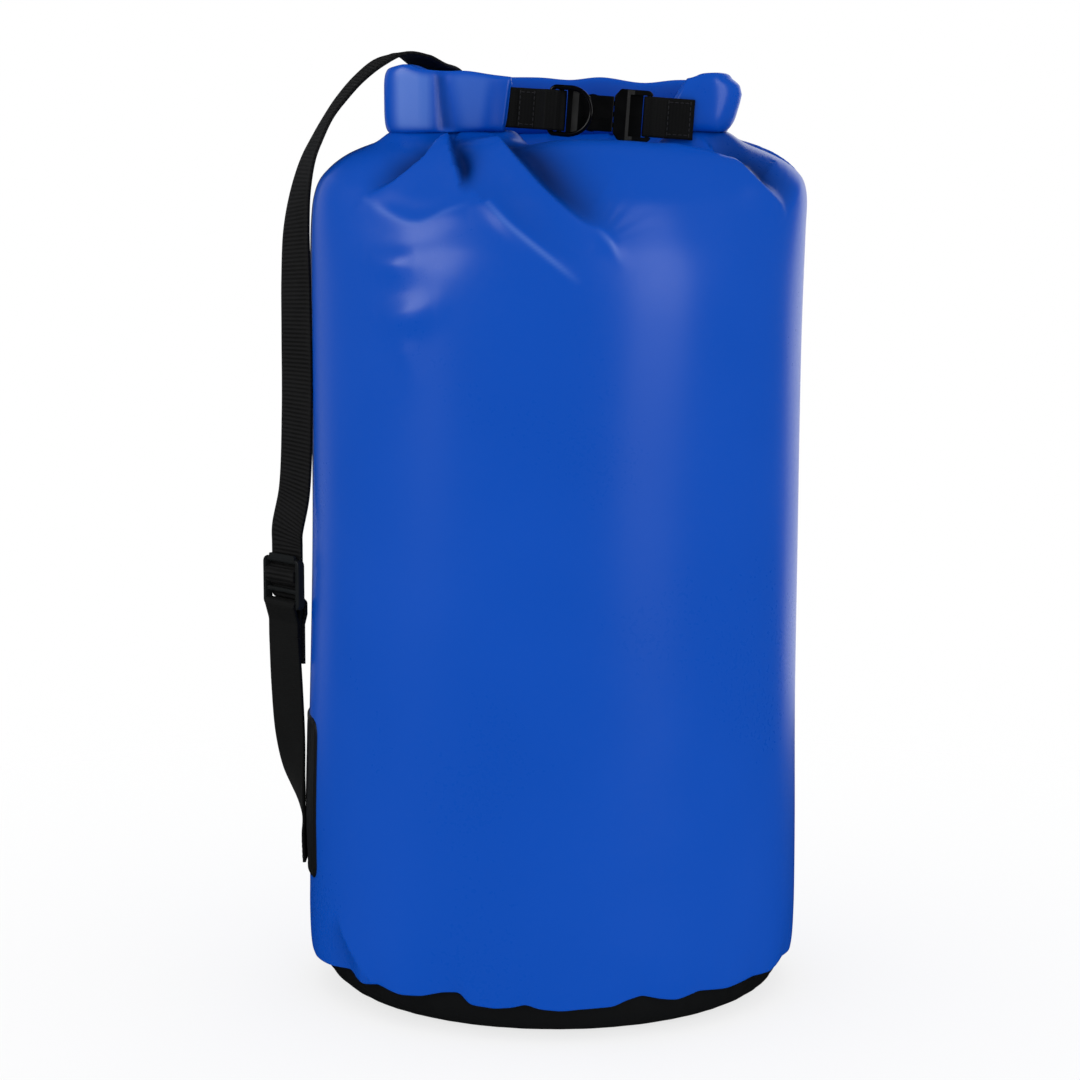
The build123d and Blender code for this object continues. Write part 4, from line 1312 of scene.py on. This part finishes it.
# ---------------------------------------------------------------- studio
@dataclass(frozen=True)
class Softbox:
    """Rectangular lamp seen in reflections only, so that it draws highlights without changing the colours.

    Attributes:
        azimuth: degrees round the bag from the camera's side, positive to the right.
        distance: distance from the bag.
        height: height of its middle.
        size: width and height.
        power: brightness in watts.
        colour: red, green and blue of its light.
    """

    azimuth: float
    distance: float
    height: float
    size: tuple[float, float]
    power: float
    colour: tuple[float, float, float] = (1.0, 1.0, 1.0)

    def build(self, name: str) -> None:
        """Add the lamp, turned to the middle of the bag."""
        lamp = bpy.data.lights.new(name, "AREA")
        lamp.shape = "RECTANGLE"
        lamp.size, lamp.size_y = self.size
        lamp.energy = self.power
        lamp.color = self.colour
        thing = bpy.data.objects.new(name, lamp)
        bpy.context.collection.objects.link(thing)
        turn = math.radians(self.azimuth)
        spot = Vector((math.sin(turn) * self.distance, -math.cos(turn) * self.distance, self.height))
        thing.location = spot
        aim = Vector((0, 0, 0.26)) - spot
        thing.rotation_euler = aim.to_track_quat("-Z", "Y").to_euler()
        thing.visible_diffuse = False
        thing.visible_camera = False


SENSOR = 36.0  # width of the camera's sensor in millimetres


class Studio:
    """Camera, floor, even pale surroundings and softboxes."""

    LAMPS = {
        "softbox_right": Softbox(43, 1.5, 0.8, (0.75, 1.3), 22.0),
        "softbox_left": Softbox(-64, 1.5, 0.95, (0.9, 0.7), 20.0),
        "fill_left": Softbox(-62, 1.5, 0.4, (0.5, 0.5), 1.2),
        "rim_right": Softbox(152, 1.6, 0.55, (1.1, 1.5), 7.0, (0.9, 0.92, 1.0)),
        "rim_left": Softbox(-140, 1.6, 0.5, (0.8, 1.3), 1.6, (0.85, 0.9, 1.0)),
    }

    def build(self) -> None:
        """Everything round the bag."""
        self.camera()
        self.floor()
        self.surroundings()
        for name, lamp in self.LAMPS.items():
            lamp.build(name)
        bpy.context.scene.view_settings.view_transform = "Standard"

    @staticmethod
    def camera() -> None:
        """Camera on the bag's front side, looking down at it by 7.31 degrees."""
        data = bpy.data.cameras.new("camera")
        data.sensor_width = SENSOR
        data.lens = 2838.0 / 1080.0 * SENSOR
        data.clip_end = 20.0
        thing = bpy.data.objects.new("camera", data)
        thing.location = (-0.00746, -1.400, 0.400)
        thing.rotation_euler = (math.radians(90 - 7.31), 0.0, 0.0)
        bpy.context.collection.objects.link(thing)
        bpy.context.scene.camera = thing

    @staticmethod
    def floor() -> None:
        """Pale floor whose far edge melts into the surroundings."""
        g = NodeGraph("floor_paint")
        space = g.add("ShaderNodeTexCoord").outputs["Object"]
        reach = g.add("ShaderNodeVectorMath", {"operation": "LENGTH"}, i0=space).outputs["Value"]
        g.set(Base_Color=(0.25, 0.25, 0.25, 1), Roughness=0.9, Specular_IOR_Level=0.0)
        g.set(Emission_Color=(0.75, 0.75, 0.75, 1), Emission_Strength=1.0)
        g.set(Alpha=g.ramp(reach, 0.25, 1.1, 1.0, 0.0))
        corners = np.array([(-1, -1, 0), (1, -1, 0), (1, 1, 0), (-1, 1, 0)]) * 1.2
        piece = build_mesh("floor", corners, np.array([[0, 1, 2, 3]]))
        piece.data.materials.append(g.material)
        piece.visible_glossy = False

    @staticmethod
    def surroundings() -> None:
        """Even white light for shading, a white backdrop, and a dark room in reflections."""
        world = bpy.data.worlds.new("studio")
        bpy.context.scene.world = world
        world.cycles_visibility.glossy = False
        world.use_nodes = True
        tree = world.node_tree
        back = tree.nodes["Background"]
        rays = tree.nodes.new("ShaderNodeLightPath")
        mix = tree.nodes.new("ShaderNodeMix")
        mix.data_type = "RGBA"
        mix.inputs[6].default_value = (1.0, 1.0, 1.0, 1)
        mix.inputs[7].default_value = (0.004, 0.004, 0.005, 1)
        tree.links.new(rays.outputs["Is Glossy Ray"], mix.inputs[0])
        tree.links.new(mix.outputs[2], back.inputs["Color"])
        back.inputs["Strength"].default_value = 1.0


# ---------------------------------------------------------------- assembly
# rows of x, y, z, crest height and valley depth in millimetres
# after the crest, lip and valley reaches, a fifth number, where given, sets the painted highlight along the
# crest
FOLDS = (
    Fold(((-88.8, -65.0, 389.2, 0.3, 0), (-76.7, -69.1, 395.9, 1.3, 2.2), (-68.4, -68.9, 401.8, 2.0, 3.6),
          (-60.1, -66.9, 408.8, 2.0, 3.6), (-50.9, -50, 417.0, 1.2, 1.6)), 9, 3, 5),
    Fold(((-50.5, -50, 418.1, 1.6, 3.4), (-49.0, -70.1, 412.9, 1.5, 5.0), (-46.6, -81.6, 405.0, 1.2, 5.2),
          (-44.5, -90, 397.0, 0.6, 1.6), (-43, -94, 391, 0, 0)), 8, 2.5, 2.8),
    Fold(((-26, -70, 417, 1.4, 4.5), (-23.6, -80.1, 413.7, 1.8, 5.0), (-13.5, -95.2, 401.9, 2.0, 4.8),
          (-2.1, -105.1, 390.0, 1.8, 3.8), (10.6, -109.9, 379.4, 1.3, 2.2), (22.4, -111.1, 373.1, 0.7, 0.4),
          (27.0, -114.5, 362, 0.0, 0)), 10, 4, 6),
    Fold(((-31.1, -101.1, 387.7, 0.5, 0.4), (-22.8, -107.5, 378.9, 1.1, 0.5),
          (-13.3, -112.6, 371.0, 1.0, 0.4), (-0.2, -117.0, 360.7, 0.8, 0.2), (11.0, -118.1, 351.6, 0, 0)),
         4, 3, 6, 0.8),
    Fold(((66, -41, 419, 0.4, 1.0), (77.5, -48.8, 413, 1.4, 2.8), (84.5, -55.9, 407.0, 2.0, 4.0),
          (95.1, -60.6, 396.3, 2.0, 4.2), (104.5, -55.5, 387.5, 1.0, 2.0), (109, -52.5, 381.0, 0, 0)),
         12, 7, 10),
    Fold(((-88.8, -65.0, 389.2, 0.5, 0), (-77.8, -76.9, 382.4, 1.2, 0), (-67.8, -86.1, 378.5, 1.4, 0),
          (-60.6, -90.9, 378.7, 1.3, 0), (-49.1, -95.1, 384.1, 0.9, 0), (-41.2, -97.5, 386.9, 0.2, 0)),
         7, 5, 5, 0.35),
    Fold(((-87, -74, 361, 0.6, 0), (-80, -84, 360, 1.7, 0), (-72, -92, 360, 1.9, 0), (-65, -97, 363, 0.5, 0)),
         7, 7),
    Fold(((-82, -84, 334, 0.8, 0), (-75, -91, 334.5, 2.0, 0), (-66, -98, 336.5, 2.3, 0),
          (-56, -104, 340, 0.8, 0)), 8, 8),
    Fold(((-69.3, -95.5, 318.5, 1.0, 0), (-66, -97.6, 309.5, 0.5, 0)), 8, 8),
    Fold(((19, -110.5, 375.5, 0.2, 0), (24, -112, 370, 0.8, 0), (29, -113.5, 362, 0.2, 0)), 4, 4, 5, 0.7),
    # hem
    Fold(((-90, -79, 22, 0.4, 0.5), (-96, -72, 30, 1.0, 1.1), (-101, -66, 39, 0.9, 0.8),
          (-104, -62, 47, 0, 0)), 8, 5, 6),
    # shoulders at the sides and the back
    Fold(((118, 0, 392, 0.3, 0), (108, 8, 407, 1.2, 1.6), (94, 18, 415.5, 1.6, 2.2), (84, 26, 418, 0.8, 0.8)),
         10, 5, 7),
    Fold(((-117, 8, 394, 0.3, 0), (-106, 12, 407, 1.2, 1.8), (-92, 20, 414.5, 1.6, 2.2),
          (-83, 25, 418, 0.8, 0.8)), 10, 5, 7),
    Fold(((-74, 98, 380, 0.3, 0), (-66, 86, 398, 1.4, 2), (-56, 68, 411, 2.0, 2.8), (-48, 48, 420, 1.2, 1.2)),
         11, 5, 7),
    Fold(((48, 112, 378, 0.3, 0), (42, 98, 399, 1.4, 2.2), (34, 74, 414, 2.0, 2.8), (30, 48, 421, 1.2, 1.2)),
         11, 5, 7),
    Fold(((12, 120, 372, 0.3, 0), (6, 108, 394, 1.2, 1.8), (0, 82, 413, 1.6, 2.2), (-2, 50, 421, 1, 1)),
         11, 5, 7),
    Fold(((96, 78, 378, 0.3, 0), (88, 66, 400, 1.4, 2.2), (80, 54, 412, 1.8, 2.4), (74, 44, 419, 1, 1)),
         11, 5, 7),
)  # fmt: skip


def paint(piece: bpy.types.Object, material: bpy.types.Material) -> None:
    """Give a piece one material."""
    piece.data.materials.clear()
    piece.data.materials.append(material)


def paint_node(node: str, material: bpy.types.Material) -> None:
    """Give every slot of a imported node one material."""
    thing = bpy.data.objects[node]
    for slot in thing.material_slots:
        slot.material = material


def main() -> None:
    """Build, dress and light the bag."""
    logging.basicConfig(level=logging.INFO, format="%(message)s")
    # after the coating's colour: the colour of the painted shade in folds, then of the painted highlight on
    # crests and panels
    blue = Tarpaulin(rgb(0, 76, 185), rgb(0, 22, 72), rgb(96, 134, 214)).build("blue_tarpaulin")
    black = Tarpaulin(rgb(18, 19, 20), rgb(10, 10, 11), rgb(40, 40, 42), 0.45).build("black_tarpaulin")
    ribbed = Woven(rgb(22, 22, 23), gap=0.2).build("ribbed_webbing")
    smooth = Woven(rgb(14, 15, 15), rib=1.0 * MM, gap=0.8).build("smooth_webbing")
    clip = Woven(rgb(8, 9, 9), rib=1.6 * MM, gap=0.6).build("clip_webbing")
    thread = Moulded(rgb(36, 36, 38), roughness=0.6).build("thread")
    plastic = Moulded(rgb(4, 5, 6), roughness=0.4).build("buckle_plastic")
    gloss = Moulded(rgb(6, 6, 8), roughness=0.22, coat=0.02).build("ring_plastic")
    lock = Moulded(rgb(26, 28, 29), roughness=0.42).build("lock_plastic")
    strip = Moulded(rgb(20, 20, 20)).build("stiffener_plastic")

    mouth = RolledMouth()
    roll = mouth.build("rolled_mouth")
    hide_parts("roll_top")
    skin = BagSkin(mouth.line, FOLDS)
    shell = skin.build("bag_skin")
    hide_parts("body_tube", "shoulder")
    pan = BasePan().build("base_pan")
    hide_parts("base_panel")
    inset = mouth.line[4:-4]
    core = np.column_stack([inset, np.full(len(inset), 434.5 * MM)])
    upright = np.tile([0.0, 0.0, 1.0], (len(core), 1))
    stiffener = Webbing(15 * MM, 1.5 * MM).build("roll_stiffener", core, upright)
    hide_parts("closure_stiffener")
    strap = CarryStrap(skin)
    lower, upper, anchor, webbing, *stitches = strap.build()
    closure = Closure().build()

    for piece, material in (
        (roll, blue), (shell, blue), (pan, black), (stiffener, strip), (lower, black), (upper, black),
        (anchor, smooth), (webbing, ribbed), (closure[0][0], clip), (closure[1][0], clip),
        (closure[2][0], thread), (closure[3][0], thread), (stitches[0], thread), (stitches[1], thread),
    ):  # fmt: skip
        paint(piece, material)
    for node in ("buckle_female", "buckle_male", "buckle_prong_upper", "buckle_prong_lower"):
        paint_node(node, plastic)
    paint_node("closure_d_ring", gloss)
    paint_node("strap_ladder_lock", lock)

    for piece in (roll, shell, pan, stiffener, lower, upper, *stitches):
        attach(piece, Body.BAG.value)
    for piece, body in closure:
        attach(piece, body.value)
    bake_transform(anchor)
    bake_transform(webbing)
    Studio().build()


if __name__ == "__main__":
    main()
